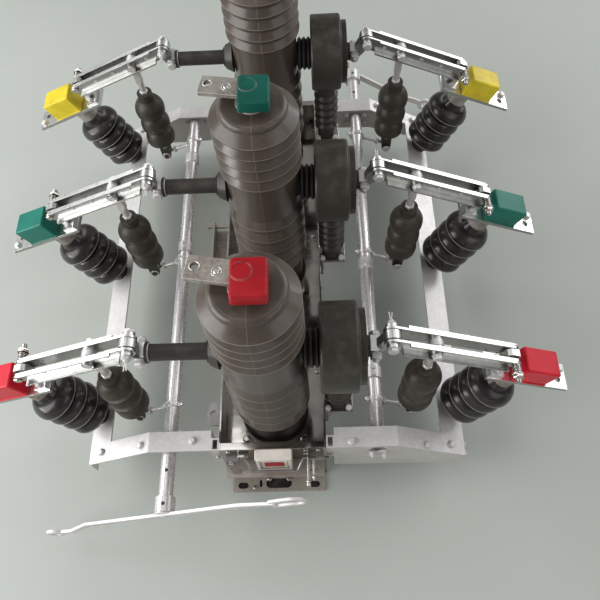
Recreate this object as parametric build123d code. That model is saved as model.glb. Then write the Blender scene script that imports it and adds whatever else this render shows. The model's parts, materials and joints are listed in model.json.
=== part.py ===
"""Outdoor three-phase vacuum load break switch with a blade disconnector on both sides.

Millimetres, +Z up, +X to the right, +Y away from the indicator end.
The origin is the centre of the housing's bottom face. The three phases stand on the Y axis.
Everything beside the housing is drawn once for the right-hand side. The left-hand side is
the same assembly turned half a turn about Z, as on the real switch.
"""
import os
from math import cos, radians, sin, tan

from build123d import *

# phases
PHASE_SPACING = 340.0
PHASES = {"front": -PHASE_SPACING, "middle": 0.0, "rear": PHASE_SPACING}
COLOURS = {"front": "red", "middle": "green", "rear": "yellow"}

# housing
HOUSING_WIDTH = 203.0
PLATE_HEIGHT = 110.0
RIM_HEIGHT = 75.0
END_MARGIN = 99.0
SHEET = 3.0
RIM_LIP = 14.0

# mounting bracket, a channel on each end of the housing
BRACKET_WIDTH = 192.0
BRACKET_TOP_DEPTH = 33.0
BRACKET_FOOT_DEPTH = 38.0
BRACKET_SHEET = 5.0
BRACKET_SLOT_LENGTH = 22.0
BRACKET_SLOT_WIDTH = 13.0
BRACKET_SLOT_SPACING = 150.0
BRACKET_SLOT_INSET = 13.0
BRACKET_OVAL_LENGTH = 54.0
BRACKET_OVAL_WIDTH = 20.0
BRACKET_DRAIN_X = -38.0
BRACKET_DRAIN_LENGTH = 15.0
BRACKET_DRAIN_WIDTH = 6.0

# side bracket on the housing's left side, its level above the pole plate
SIDE_BRACKET_START = -10.0
SIDE_BRACKET_LENGTH = 110.0
SIDE_BRACKET_REACH = 38.0
SIDE_BRACKET_LEVEL = 10.0
SIDE_BRACKET_HEIGHT = 45.0
SIDE_BRACKET_SLOT = 9.0
SIDE_BRACKET_ROD = 5.0
SIDE_BRACKET_ROD_INSET = 9.0

# indicator housing and wire bail on the front end
INDICATOR_WIDTH = 68.0
INDICATOR_TOP_DEPTH = 18.0
INDICATOR_FOOT_DEPTH = 20.0
INDICATOR_CENTRE_X = 1.0
INDICATOR_BORDER = 7.0
INDICATOR_RECESS = 3.0
BAIL_WIRE = 5.0
BAIL_NOSE = 89.0
BAIL_KNEE = 112.0
BAIL_BACK = 8.0
BAIL_REACH = 29.0
BAIL_TOP = 41.0
BAIL_FOOT = 26.0
BAIL_BEND = 5.0
BAIL_EAR_START = 68.0
BAIL_EAR_LENGTH = 25.0
BAIL_EAR_DEPTH = 14.0
BAIL_EAR_HEIGHT = 16.0

# lifting lugs on the housing's sides
LUG_LENGTH = 46.0
LUG_REACH = 24.0
LUG_HOLE_RADIUS = 7.0
LUG_SHEET = 6.0
LUG_PLACE = 27.0

# pole insulators, heights above the plate that they stand on
POLE_FOOT_RADIUS = 62.0
POLE_BODY_RADIUS = 67.0
POLE_SHED_RADIUS = 75.0
POLE_LOW_SHED_RADIUS = 73.0
POLE_RIM_RADIUS = 58.5
POLE_FOOT = 95.0
POLE_LOW_SHEDS = 5
POLE_LOW_PITCH = 39.0
POLE_UPPER_START = 378.0
POLE_UPPER_SHEDS = 5
POLE_HEIGHT = 519.0
POLE_RIM_EDGE = 12.0
POLE_RIM_FILLET = 10.0
SHED_EDGE = 3.0
DOME_RISE = 0.85

# top terminals on their bosses, and their caps
TERMINAL_BOSS = 16.0
TERMINAL_SHEET = 8.0
TERMINAL_WIDTH = 38.0
TERMINAL_REACH = 85.5
TERMINAL_RADIUS = 20.0
TERMINAL_TURN = 18.0
TERMINAL_HOLE_RADIUS = 6.5
TERMINAL_HOLE_SPACING = 32.5
TERMINAL_HOLE_INSET = 12.5
TOP_CAP_LENGTH = 52.0
TOP_CAP_WIDTH = 64.0
TOP_CAP_HEIGHT = 32.0
TOP_CAP_OFFSET_X = 5.0
TOP_CAP_OFFSET_Y = -2.0
TOP_CAP_DISC_RADIUS = 15.0
TOP_CAP_DISC = 1.5
TOP_CAP_DISC_X = -4.0
TOP_CAP_DISC_Y = 7.0
CAP_FILLET = 4.0
FIT_GAP = 0.3

# conductor arms, heights above the pole plate, and the current transformers on the right
ARM_HEIGHT = 312.0
ARM_RADIUS = 14.5
ARM_ROOT = 62.0
ARM_COLLAR_RADIUS = 18.0
ARM_COLLAR_WIDTH = 5.0
LEFT_ARM_END = 190.0
RIGHT_ARM_END = 178.0
ARM_FLANGE_RADIUS = 24.0
ARM_CONE_RADIUS = 32.0
ARM_CONE_LENGTH = 16.0
NECK_START = 68.0
NECK_RADIUS = 33.0
NECK_RIBS = 3
NECK_GROOVE = 5.0
CT_RADIUS = 76.0
CT_WIDTH = 62.0
CT_CENTRE = 127.0
CT_CORNER = 5.0
CT_COLLAR_RADIUS = 63.0
CT_COLLAR_WIDTH = 12.0
CT_LEG_RADIUS = 21.0
CT_RIB_RADIUS = 27.0
CT_RIBS = 5
CT_RIB_PITCH = 22.0
CT_RIB_START = 30.0
CT_SEAT_HEIGHT = 66.0
CT_SEAT_SHEET = 6.0
CT_SEAT_WIDTH = 56.0

# hinge line, and the slope that the whole disconnector is set at
SLOPE = 24.0
HINGE_X = 212.0
HINGE_RISE = 31.0
BLOCK_LENGTH = 17.0
BLOCK_WIDTH = 28.0
BLOCK_DEPTH = 24.0
LUG_THICKNESS = 15.0
HINGE_LUG_RADIUS = 15.0

# blades, lengths along the slope from the hinge
BLADE_LENGTH = 237.0
BLADE_DEPTH = 28.0
BLADE_SHEET = 4.0
BLADE_GAP = 19.0
BLADE_TIP_CHAMFER = 7.0
LIP_START = 24.0
LIP_END_INSET = 10.0
LIP_SHEET = 3.5
TOP_LIP_WIDTH = 5.0
LOW_LIP_WIDTH = 10.0
PIN_RADIUS = 6.0
PIN_CLEARANCE = 0.1
PIN_HEAD_RADIUS = 10.0
PIN_HEAD = 7.0
SHIM_RADIUS = 12.0
BUTTON_INSET = 12.0
BUTTON_RADIUS = 9.0
SIDE_CLEARANCE = 0.4

# fixed contact, line pad and its cap
TONGUE_OVERLAP = 25.0
TONGUE_LENGTH = 26.0
TONGUE_THICKNESS = 12.0
TONGUE_TOP = 17.0
PAD_LEVEL = -52.0
PAD_SHEET = 7.0
PAD_WIDTH = 50.0
PAD_LENGTH = 174.0
PAD_OVERLAP = 31.0
PAD_HOLE_RADIUS = 6.5
PAD_HOLE_INSET = 19.0
LINE_CAP_GAP = 21.0
LINE_CAP_LENGTH = 70.0
LINE_CAP_WIDTH = 48.0
LINE_CAP_HEIGHT = 47.0

# support frames of angles: arms from the housing, and a bar across their outer ends
FRAME_SHEET = 5.0
FRAME_WIDTH = 39.0
FRAME_KINK_X = 236.5
FRAME_SLOPE = 30.0
BAR_START = 326.0
BAR_WIDTH = 48.0
BAR_DEPTH = 45.0
BAR_CORNER = 4.0
ANGLE_WIDTH = 15.0
ANGLE_LENGTH = 24.0
ANGLE_DROP = 60.0

# depths of the arms' legs below the rim: at the housing, at the kink, at the bar
DEEP_LEG = (120.0, 125.0, 128.0)
SHALLOW_LEG = (56.0, 60.0, 110.0)

# post insulators, from the bar to the line pad
POST_X = 355.0
POST_CORE_RADIUS = 26.0
POST_SHED_RADIUS = 48.0
POST_SHEDS = 4
POST_SHED_PITCH = 31.0
POST_HEAD_RADIUS = 19.0
POST_CONE = 18.0
POST_FOOT_RADIUS = 19.0
POST_FOOT = 34.0
POST_RING_RADIUS = 33.0
POST_RING = 13.0

# operating shafts and cranks, height above the pole plate
SHAFT_X = 200.0
SHAFT_HEIGHT = 53.0
SHAFT_RADIUS = 13.5
SHAFT_CLEARANCE = 0.1
SHAFT_HOLE_RADIUS = 3.5
SHAFT_HOLE_PLACE = 32.0
CRANK_RADIUS = 80.0
CRANK_ROD_RADIUS = 3.5
CRANK_TAIL = 24.0
CRANK_EYE_RADIUS = 11.0
CRANK_EYE_WIDTH = 10.0
CLAMP_RADIUS = 16.5
CLAMP_WIDTH = 8.0
SLEEVE_RADIUS = 19.0
SLEEVE_START = 80.0
SLEEVE_LENGTH = 28.0
BEARING_WIDTH = 60.0
BEARING_HEIGHT = 44.0
BEARING_SHEET = 12.0

# pull insulators between the cranks and the blades
TIE_EYE_RADIUS = 12.0
TIE_EYE_WIDTH = 12.0
TIE_NECK = 88.0
TIE_NECK_ROUND = 30.0
TIE_NECK_RADIUS = 7.0
TIE_CORE_RADIUS = 18.0
TIE_SHED_RADIUS = 33.0
TIE_SHEDS = 3
TIE_HEAD_RADIUS = 17.0
TIE_FOOT_RADIUS = 13.0
TIE_FITTING = 12.0
TIE_STEM = 40.0
FORK_CHEEK = 5.0
FORK_DEPTH = 26.0
FORK_WIDTH = 22.0
FORK_CLEARANCE = 1.5
OPEN_PIVOT_CLEARANCE = 0.5

# operating levers, stepped outwards between the hub and both eyes
LEVER_THICKNESS = 7.0
LEVER_DEPTH = 15.0
LEVER_STEP = 9.0
LEVER_STEP_LENGTH = 30.0
LEVER_END_LENGTH = 44.0
LEVER_HUB_RADIUS = 21.0
OUTER_EYE_RADIUS = 14.0
OUTER_EYE_HOLE = 8.0
INNER_EYE_RADIUS = 22.0
INNER_EYE_HOLE = 14.5
LEFT_LEVER_REACH = 262.0
RIGHT_LEVER_REACH = 240.0
LEFT_LEVER_SLOPE = 25.0
RIGHT_LEVER_SLOPE = 34.0

HALF_WIDTH = HOUSING_WIDTH / 2
HALF_LENGTH = PHASE_SPACING + END_MARGIN
RIM = PLATE_HEIGHT + RIM_HEIGHT
POLE_TOP = PLATE_HEIGHT + POLE_HEIGHT
POLE_UPPER_PITCH = (POLE_HEIGHT - POLE_RIM_EDGE - POLE_UPPER_START) / (POLE_UPPER_SHEDS - 0.2)
ARM_Z = PLATE_HEIGHT + ARM_HEIGHT
ARM_END = {"left": LEFT_ARM_END, "right": RIGHT_ARM_END}
HINGE = (HINGE_X, ARM_Z + HINGE_RISE)
SHAFT = (SHAFT_X, PLATE_HEIGHT + SHAFT_HEIGHT)
BUTTON_PLACE = BLADE_LENGTH - BUTTON_INSET
TONGUE_START = BLADE_LENGTH - TONGUE_OVERLAP
PAD_START = BLADE_LENGTH - PAD_OVERLAP
PAD_END = PAD_START + PAD_LENGTH
LINE_CAP_START = BLADE_LENGTH + LINE_CAP_GAP
BAR_END = BAR_START + BAR_WIDTH
TIE_LENGTH = ((HINGE[0] - SHAFT[0]) ** 2 + (HINGE[1] - SHAFT[1]) ** 2) ** 0.5
TIE_SHED_PITCH = (TIE_LENGTH - TIE_NECK - TIE_STEM - 2 * TIE_FITTING) / TIE_SHEDS
LEVER_REACH = {"left": LEFT_LEVER_REACH, "right": RIGHT_LEVER_REACH}
LEVER_SLOPE = {"left": LEFT_LEVER_SLOPE, "right": RIGHT_LEVER_SLOPE}
LEVER_START = HALF_LENGTH + SLEEVE_START + SLEEVE_LENGTH


def along_slope(point):
    """Distances along and across the disconnector's slope of a point (x, z) in the XZ plane."""
    a = radians(SLOPE)
    dx, dz = point[0] - HINGE[0], point[1] - HINGE[1]
    return dx * cos(a) - dz * sin(a), dx * sin(a) + dz * cos(a)


def frame_top(x):
    """Height of the frames' top face: level as far as the kink, sloping down from there."""
    return RIM - max(0.0, x - FRAME_KINK_X) * tan(radians(FRAME_SLOPE))


FRAME_DROP = FRAME_SHEET / cos(radians(FRAME_SLOPE))
POST_PLACE, POST_BASE = along_slope((POST_X, frame_top(POST_X)))
POST_HEIGHT = PAD_LEVEL - POST_BASE


def on_slope(shape, y):
    """Shape drawn from the hinge with +X along the slope, laid in its place."""
    return Pos(HINGE[0], y, HINGE[1]) * Rot(0, SLOPE, 0) * shape


def turned(shape, side):
    """The right-hand drawing as it is, or turned half a turn for the left."""
    return shape if side == "right" else Rot(0, 0, 180) * shape


def phase_y(side, phase):
    """Where a phase lies in the right-hand drawing of that side."""
    return PHASES[phase] if side == "right" else -PHASES[phase]


def block(x0, x1, y0, y1, z0, z1):
    return Pos((x0 + x1) / 2, (y0 + y1) / 2, (z0 + z1) / 2) * Box(x1 - x0, y1 - y0, z1 - z0)


def rod_x(x0, x1, radius, y=0.0, z=0.0):
    """Round bar parallel to X."""
    return Pos((x0 + x1) / 2, y, z) * Rot(0, 90, 0) * Cylinder(radius, x1 - x0)


def rod_y(y0, y1, radius, x=0.0, z=0.0):
    """Round bar parallel to Y."""
    return Pos(x, (y0 + y1) / 2, z) * Rot(90, 0, 0) * Cylinder(radius, y1 - y0)


def rod_z(z0, z1, radius, x=0.0, y=0.0):
    """Round bar parallel to Z."""
    return Pos(x, y, (z0 + z1) / 2) * Cylinder(radius, z1 - z0)


def plate_xz(points, y0, y1):
    """Flat plate between y0 and y1 with an outline of (x, z) points."""
    face = make_face(Polyline(*[(x, y0, z) for x, z in points], close=True))
    return extrude(face, y1 - y0, dir=(0, 1, 0))


def revolved(points):
    """Solid of revolution about Z from an outline of (radius, height) points."""
    outline = [(0, 0, points[0][1])] + [(r, 0, z) for r, z in points] + [(0, 0, points[-1][1])]
    return revolve(make_face(Polyline(*outline, close=True)), Axis.Z)


def sheds(core, shed, pitch, count, start):
    """Outline of a row of sheds that slope down outwards, from the lowest up."""
    points = []
    for k in range(count):
        foot = start + k * pitch
        points.append((core, foot))
        points.append((shed, foot + 0.12 * pitch))
        points.append((shed, foot + 0.12 * pitch + SHED_EDGE))
        points.append((core, foot + 0.7 * pitch))
    return points


def domed_shed(core, shed, rise):
    """One solid shed with a thin rim and a rounded top that meets the core."""
    half = radians(45)
    middle = (core + (shed - core) * cos(half), 0, SHED_EDGE + (rise - SHED_EDGE) * sin(half))
    rim = (shed, 0, SHED_EDGE)
    top = (core, 0, rise)
    straight = Polyline(top, (0, 0, rise), (0, 0, 0), (shed, 0, 0), rim)
    return revolve(make_face([straight, ThreePointArc(rim, middle, top)]), Axis.Z)


def gather(shapes):
    """Separate solids of one node as one compound."""
    return Compound(children=[solid for shape in shapes for solid in shape.solids()])


def mechanism_box():
    x = HALF_WIDTH - SHEET
    y = HALF_LENGTH - SHEET
    return block(-x, x, -y, y, 0, PLATE_HEIGHT)


def side_plates():
    y = HALF_LENGTH - SHEET
    plate = block(HALF_WIDTH - SHEET, HALF_WIDTH, -y, y, 0, RIM)
    return gather([plate, turned(plate, "left")])


def end_plates():
    """End walls with a lip folded in along the top."""
    wall = block(-HALF_WIDTH, HALF_WIDTH, -HALF_LENGTH, -HALF_LENGTH + SHEET, 0, RIM)
    x = HALF_WIDTH - SHEET
    wall += block(-x, x, -HALF_LENGTH, -HALF_LENGTH + RIM_LIP, RIM - SHEET, RIM)
    return gather([wall, turned(wall, "left")])


def side_bracket():
    """Channel on the housing's left side with a slotted web and a spacer rod."""
    x0, x1 = -HALF_WIDTH - SIDE_BRACKET_REACH, -HALF_WIDTH
    y0, y1 = SIDE_BRACKET_START, SIDE_BRACKET_START + SIDE_BRACKET_LENGTH
    z0 = PLATE_HEIGHT + SIDE_BRACKET_LEVEL
    margin = SIDE_BRACKET_ROD_INSET
    bracket = block(x0, x1, y0, y1, z0, z0 + SHEET)
    bracket += block(x0, x0 + SHEET, y0, y1, z0, z0 + SIDE_BRACKET_HEIGHT)
    bracket -= block(x1 - SHEET - SIDE_BRACKET_SLOT, x1 - SHEET, y0 + margin, y1 - margin, z0, z0 + SHEET)
    rod_z0 = z0 + SIDE_BRACKET_HEIGHT - 2 * SIDE_BRACKET_ROD
    bracket += rod_x(x0 - 3 * SIDE_BRACKET_ROD, x1, SIDE_BRACKET_ROD, y1 - margin, rod_z0)
    return bracket


def mounting_brackets():
    """Channels with two slotted shelves, their webs against the ends of the housing."""
    half = BRACKET_WIDTH / 2
    face = -HALF_LENGTH
    channel = block(-half, half, face - BRACKET_SHEET, face, 0, PLATE_HEIGHT)
    channel += block(-half, half, face - BRACKET_TOP_DEPTH, face, PLATE_HEIGHT - BRACKET_SHEET, PLATE_HEIGHT)
    channel += block(-half, half, face - BRACKET_FOOT_DEPTH, face, 0, BRACKET_SHEET)
    for depth, level in ((BRACKET_TOP_DEPTH, PLATE_HEIGHT), (BRACKET_FOOT_DEPTH, BRACKET_SHEET)):
        for x in (-BRACKET_SLOT_SPACING / 2, BRACKET_SLOT_SPACING / 2):
            slot = Pos(x, face - depth + BRACKET_SLOT_INSET, level) * SlotOverall(
                BRACKET_SLOT_LENGTH, BRACKET_SLOT_WIDTH)
            channel -= extrude(slot, -BRACKET_SHEET)
    oval = Pos(0, face - (BRACKET_FOOT_DEPTH + BRACKET_SHEET) / 2, BRACKET_SHEET) * SlotOverall(
        BRACKET_OVAL_LENGTH, BRACKET_OVAL_WIDTH)
    channel -= extrude(oval, -BRACKET_SHEET)
    drain_y = face - (BRACKET_FOOT_DEPTH + BRACKET_SHEET) / 2
    drain = Pos(BRACKET_DRAIN_X, drain_y, BRACKET_SHEET) * Rot(0, 0, 90) * SlotOverall(
        BRACKET_DRAIN_LENGTH, BRACKET_DRAIN_WIDTH)
    channel -= extrude(drain, -BRACKET_SHEET)
    return gather([channel, turned(channel, "left"), side_bracket()])


def indicator_housing():
    """Housing of the position window, on the upper shelf of the front bracket."""
    face = -HALF_LENGTH
    foot, top = PLATE_HEIGHT, RIM - SHEET
    front_foot, front_top = face - INDICATOR_FOOT_DEPTH, face - INDICATOR_TOP_DEPTH
    x0, x1 = INDICATOR_CENTRE_X - INDICATOR_WIDTH / 2, INDICATOR_CENTRE_X + INDICATOR_WIDTH / 2
    profile = [(face, foot), (front_foot, foot), (front_top, top), (face, top)]
    housing = extrude(make_face(Polyline(*[(x0, y, z) for y, z in profile], close=True)), x1 - x0, dir=(1, 0, 0))
    low, high = foot + INDICATOR_BORDER, top - INDICATOR_BORDER
    recess = [(front_foot + INDICATOR_RECESS, low), (front_foot - INDICATOR_RECESS, low),
              (front_foot - INDICATOR_RECESS, high), (front_top + INDICATOR_RECESS, high)]
    window = make_face(Polyline(*[(x0 + INDICATOR_BORDER, y, z) for y, z in recess], close=True))
    return housing - extrude(window, x1 - x0 - 2 * INDICATOR_BORDER, dir=(1, 0, 0))


def pull_bail():
    """Wire bail in front of the indicator, held by an ear on the end plate at each side."""
    face = -HALF_LENGTH
    high, low = PLATE_HEIGHT + BAIL_TOP, PLATE_HEIGHT + BAIL_FOOT
    start, knee, nose = BAIL_EAR_START + BAIL_EAR_LENGTH / 2, BAIL_KNEE / 2, BAIL_NOSE / 2
    path = FilletPolyline(
        (-start, face - BAIL_BACK, high), (-knee, face - BAIL_BACK, high), (-nose, face - BAIL_REACH, low),
        (nose, face - BAIL_REACH, low), (knee, face - BAIL_BACK, high), (start, face - BAIL_BACK, high),
        radius=BAIL_BEND)
    bail = sweep(Plane(origin=path @ 0, z_dir=path % 0) * Circle(BAIL_WIRE / 2), path)
    for x0 in (-BAIL_EAR_START - BAIL_EAR_LENGTH, BAIL_EAR_START):
        bail += block(x0, x0 + BAIL_EAR_LENGTH, face - BAIL_EAR_DEPTH, face,
                      high - BAIL_EAR_HEIGHT / 2, high + BAIL_EAR_HEIGHT / 2)
    return Pos(INDICATOR_CENTRE_X, 0, 0) * bail


def lifting_lugs():
    """Flat ears at the rim on the housing's left side, one at each end."""
    x0 = -HALF_WIDTH - LUG_REACH
    lug = block(x0, -HALF_WIDTH, -LUG_LENGTH / 2, LUG_LENGTH / 2, RIM - LUG_SHEET, RIM)
    outer = lug.edges().filter_by(Axis.Z).group_by(Axis.X)[0]
    lug = fillet(outer, LUG_REACH * 0.6)
    lug -= rod_z(RIM - LUG_SHEET, RIM, LUG_HOLE_RADIUS, x0 + LUG_REACH / 2)
    return gather([Pos(0, y, 0) * lug for y in (PHASES["front"] - LUG_PLACE, PHASES["rear"] + LUG_PLACE)])


def corner_angles():
    """Folded boxes, open above and below, that join the arms of the frames to the housing's sides."""
    angles = []
    for y0 in (-HALF_LENGTH, HALF_LENGTH - ANGLE_LENGTH):
        x1 = HALF_WIDTH + ANGLE_WIDTH
        angle = block(HALF_WIDTH, x1, y0, y0 + ANGLE_LENGTH, RIM - ANGLE_DROP, RIM)
        angle -= block(HALF_WIDTH + SHEET, x1 - SHEET, y0 + SHEET, y0 + ANGLE_LENGTH - SHEET, 0, RIM)
        angles.append(angle)
    return gather(angles + [turned(angle, "left") for angle in angles])


def pole(phase):
    """Moulded pole: plain foot, low sheds, smooth barrel, upper sheds and a rounded rim."""
    points = [(POLE_FOOT_RADIUS, 0), (POLE_FOOT_RADIUS, POLE_FOOT - 4)]
    points += sheds(POLE_BODY_RADIUS, POLE_LOW_SHED_RADIUS, POLE_LOW_PITCH, POLE_LOW_SHEDS, POLE_FOOT)
    points += sheds(POLE_BODY_RADIUS, POLE_SHED_RADIUS, POLE_UPPER_PITCH, POLE_UPPER_SHEDS, POLE_UPPER_START)
    points[-1] = (POLE_RIM_RADIUS, POLE_HEIGHT - POLE_RIM_EDGE)
    points.append((POLE_RIM_RADIUS, POLE_HEIGHT))
    body = revolved(points)
    body = fillet(body.faces().sort_by(Axis.Z)[-1].edges(), POLE_RIM_FILLET)
    for sign in (-1, 1):
        ends = sorted((sign * ARM_ROOT, sign * 2 * ARM_ROOT))
        body -= rod_x(ends[0], ends[1], ARM_FLANGE_RADIUS + FIT_GAP, 0, ARM_HEIGHT)
    return Pos(0, PHASES[phase], PLATE_HEIGHT) * body


def top_terminal(gap):
    """Terminal on its boss, as large as it is or larger all round by a gap."""
    half = TERMINAL_WIDTH / 2 + gap
    top = TERMINAL_BOSS + TERMINAL_SHEET + gap
    palm = block(-TERMINAL_REACH - gap, 0, -half, half, TERMINAL_BOSS - gap, top)
    return Rot(0, 0, -TERMINAL_TURN) * (palm + rod_z(0, top, TERMINAL_RADIUS + gap))


def top_terminals():
    """Flat terminals on top of the poles, with their palms to the left."""
    terminal = top_terminal(0.0)
    for k in range(2):
        x = -TERMINAL_REACH + TERMINAL_HOLE_INSET + k * TERMINAL_HOLE_SPACING
        hole = rod_z(TERMINAL_BOSS, TERMINAL_BOSS + TERMINAL_SHEET, TERMINAL_HOLE_RADIUS, x)
        terminal -= Rot(0, 0, -TERMINAL_TURN) * hole
    return gather([Pos(0, y, POLE_TOP) * terminal for y in PHASES.values()])


def top_cap(phase):
    """Soft rectangular cap over the terminal, with a raised disc on its top."""
    cap = Pos(0, 0, TOP_CAP_HEIGHT / 2) * Box(TOP_CAP_LENGTH, TOP_CAP_WIDTH, TOP_CAP_HEIGHT)
    cap = fillet(cap.edges().filter_by(Axis.Z), CAP_FILLET)
    cap = fillet(cap.faces().sort_by(Axis.Z)[-1].edges(), CAP_FILLET / 2)
    cap = Pos(TOP_CAP_OFFSET_X, TOP_CAP_OFFSET_Y, 0) * cap
    cap += rod_z(TOP_CAP_HEIGHT, TOP_CAP_HEIGHT + TOP_CAP_DISC, TOP_CAP_DISC_RADIUS, TOP_CAP_DISC_X, TOP_CAP_DISC_Y)
    return Pos(0, PHASES[phase], POLE_TOP) * (cap - top_terminal(FIT_GAP))


def conductor_arms(side):
    """Insulated round arms from the poles to the hinge blocks, with a ribbed neck on the right."""
    end = ARM_END[side]
    arm = rod_x(ARM_ROOT, end, ARM_RADIUS) + rod_x(end - ARM_COLLAR_WIDTH, end, ARM_COLLAR_RADIUS)
    arm += rod_x(ARM_ROOT, NECK_START, ARM_FLANGE_RADIUS)
    if side == "left":
        ring = (ARM_FLANGE_RADIUS + ARM_RADIUS) / 2
        cone_end = NECK_START + ARM_CONE_LENGTH
        step = ARM_CONE_LENGTH / 4
        points = [(ARM_CONE_RADIUS, NECK_START), (ARM_FLANGE_RADIUS, cone_end), (ring, cone_end),
                  (ring, cone_end + step), (ARM_RADIUS, cone_end + step), (ARM_RADIUS, cone_end + 2 * step)]
    else:
        neck_end = CT_CENTRE - CT_WIDTH / 2
        pitch = (neck_end - NECK_START) / NECK_RIBS
        points = []
        for k in range(NECK_RIBS):
            start = NECK_START + k * pitch
            points += [(NECK_RADIUS - NECK_GROOVE, start), (NECK_RADIUS, start + pitch / 3),
                       (NECK_RADIUS, start + pitch * 2 / 3)]
        points.append((NECK_RADIUS - NECK_GROOVE, neck_end))
    arm += Rot(0, 90, 0) * revolved(points)
    return gather([turned(Pos(0, phase_y(side, phase), ARM_Z) * arm, side) for phase in PHASES])


def current_transformers():
    """Ring transformers round the right-hand arms, each with a ribbed leg to its seat."""
    rings = []
    for phase in PHASES:
        ring = rod_x(CT_CENTRE - CT_WIDTH / 2, CT_CENTRE + CT_WIDTH / 2, CT_RADIUS)
        ring = fillet(ring.edges().filter_by(GeomType.CIRCLE), CT_CORNER)
        ring += rod_x(CT_CENTRE, CT_CENTRE + CT_WIDTH / 2 + CT_COLLAR_WIDTH, CT_COLLAR_RADIUS)
        foot = CT_SEAT_HEIGHT + CT_SEAT_SHEET - ARM_HEIGHT
        points = [(CT_LEG_RADIUS, foot)]
        for k in range(CT_RIBS):
            level = foot + CT_RIB_START + k * CT_RIB_PITCH
            points += [(CT_LEG_RADIUS, level), (CT_RIB_RADIUS, level + 3), (CT_RIB_RADIUS, level + 6),
                       (CT_LEG_RADIUS, level + 12)]
        points.append((CT_LEG_RADIUS, -CT_RADIUS / 2))
        ring += Pos(CT_CENTRE, 0, 0) * revolved(points)
        ring -= rod_x(0, 2 * CT_CENTRE, ARM_RADIUS + FIT_GAP)
        rings.append(Pos(0, PHASES[phase], ARM_Z) * ring)
    return gather(rings)


def transformer_seats():
    """Shelf brackets on the housing's right side under the transformer legs."""
    seats = []
    top = PLATE_HEIGHT + CT_SEAT_HEIGHT + CT_SEAT_SHEET
    end = CT_CENTRE + CT_SEAT_WIDTH / 2
    for y in PHASES.values():
        seat = block(HALF_WIDTH, end, y - CT_SEAT_WIDTH / 2, y + CT_SEAT_WIDTH / 2, top - CT_SEAT_SHEET, top)
        seat += block(HALF_WIDTH, HALF_WIDTH + CT_SEAT_SHEET, y - CT_SEAT_WIDTH / 2, y + CT_SEAT_WIDTH / 2,
                      top - CT_SEAT_WIDTH, top)
        seats.append(seat)
    return gather(seats)


def hinge_blocks():
    """Clamps on the arm ends, each with a lug between the blade's bars for the hinge pin."""
    blocks = []
    for side, start in ARM_END.items():
        end = start + BLOCK_LENGTH
        low = ARM_Z - BLOCK_DEPTH / 2
        clamp = block(start, end, -BLOCK_WIDTH / 2, BLOCK_WIDTH / 2, low, low + BLOCK_DEPTH)
        web = [(start + BLOCK_LENGTH / 4, ARM_Z), (end, low),
               (HINGE[0] + HINGE_LUG_RADIUS * 0.8, HINGE[1] - HINGE_LUG_RADIUS * 0.6),
               (HINGE[0] - HINGE_LUG_RADIUS * 0.6, HINGE[1] + HINGE_LUG_RADIUS * 0.8)]
        clamp += plate_xz(web, -LUG_THICKNESS / 2, LUG_THICKNESS / 2)
        clamp += rod_y(-LUG_THICKNESS / 2, LUG_THICKNESS / 2, HINGE_LUG_RADIUS, *HINGE)
        clamp -= rod_y(-LUG_THICKNESS, LUG_THICKNESS, PIN_RADIUS + PIN_CLEARANCE, *HINGE)
        for phase in PHASES:
            blocks.append(turned(Pos(0, phase_y(side, phase), 0) * clamp, side))
    return gather(blocks)


def blade(side, phase):
    """Two channel-shaped bars with the hinge pin, the tie's pin and the contact buttons."""
    low, high = -BLADE_DEPTH / 2, BLADE_DEPTH / 2
    cut = BLADE_TIP_CHAMFER
    outline = [(0, low), (BLADE_LENGTH - cut, low), (BLADE_LENGTH, low + cut), (BLADE_LENGTH, high - cut),
               (BLADE_LENGTH - cut, high), (0, high)]
    inner = BLADE_GAP / 2
    outer = inner + BLADE_SHEET
    lip_end = BLADE_LENGTH - LIP_END_INSET
    bar = plate_xz(outline, inner, outer) + rod_y(inner, outer, high)
    bar += block(LIP_START, lip_end, inner, outer + TOP_LIP_WIDTH, high - LIP_SHEET, high)
    bar += block(LIP_START, lip_end, inner, outer + LOW_LIP_WIDTH, low, low + LIP_SHEET)
    bar += rod_y(TONGUE_THICKNESS / 2 + SIDE_CLEARANCE, inner, BUTTON_RADIUS, BUTTON_PLACE)
    head = outer + PIN_HEAD
    for x, width in ((0.0, LUG_THICKNESS), (CRANK_RADIUS, TIE_EYE_WIDTH)):
        bar += rod_y(0, head, PIN_RADIUS, x) + rod_y(outer, head, PIN_HEAD_RADIUS, x)
        bar += rod_y(width / 2 + SIDE_CLEARANCE, inner, SHIM_RADIUS, x)
    both = bar + mirror(bar, Plane.XZ)
    return turned(on_slope(both, phase_y(side, phase)), side)


def fixed_contacts():
    """Upright contact tongues that the blades close over."""
    foot = PAD_LEVEL + PAD_SHEET
    x0, x1 = TONGUE_START, TONGUE_START + TONGUE_LENGTH
    cut = TONGUE_LENGTH / 5
    outline = [(x0, foot), (x1, foot), (x1, TONGUE_TOP - cut), (x1 - cut, TONGUE_TOP), (x0 + cut, TONGUE_TOP),
               (x0, TONGUE_TOP - cut)]
    tongue = plate_xz(outline, -TONGUE_THICKNESS / 2, TONGUE_THICKNESS / 2)
    tongue += block(x0, x1, -PAD_WIDTH * 0.4, PAD_WIDTH * 0.4, foot, foot + PAD_SHEET)
    return gather([turned(on_slope(tongue, phase_y(side, phase)), side)
                   for side in ("left", "right") for phase in PHASES])


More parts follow.
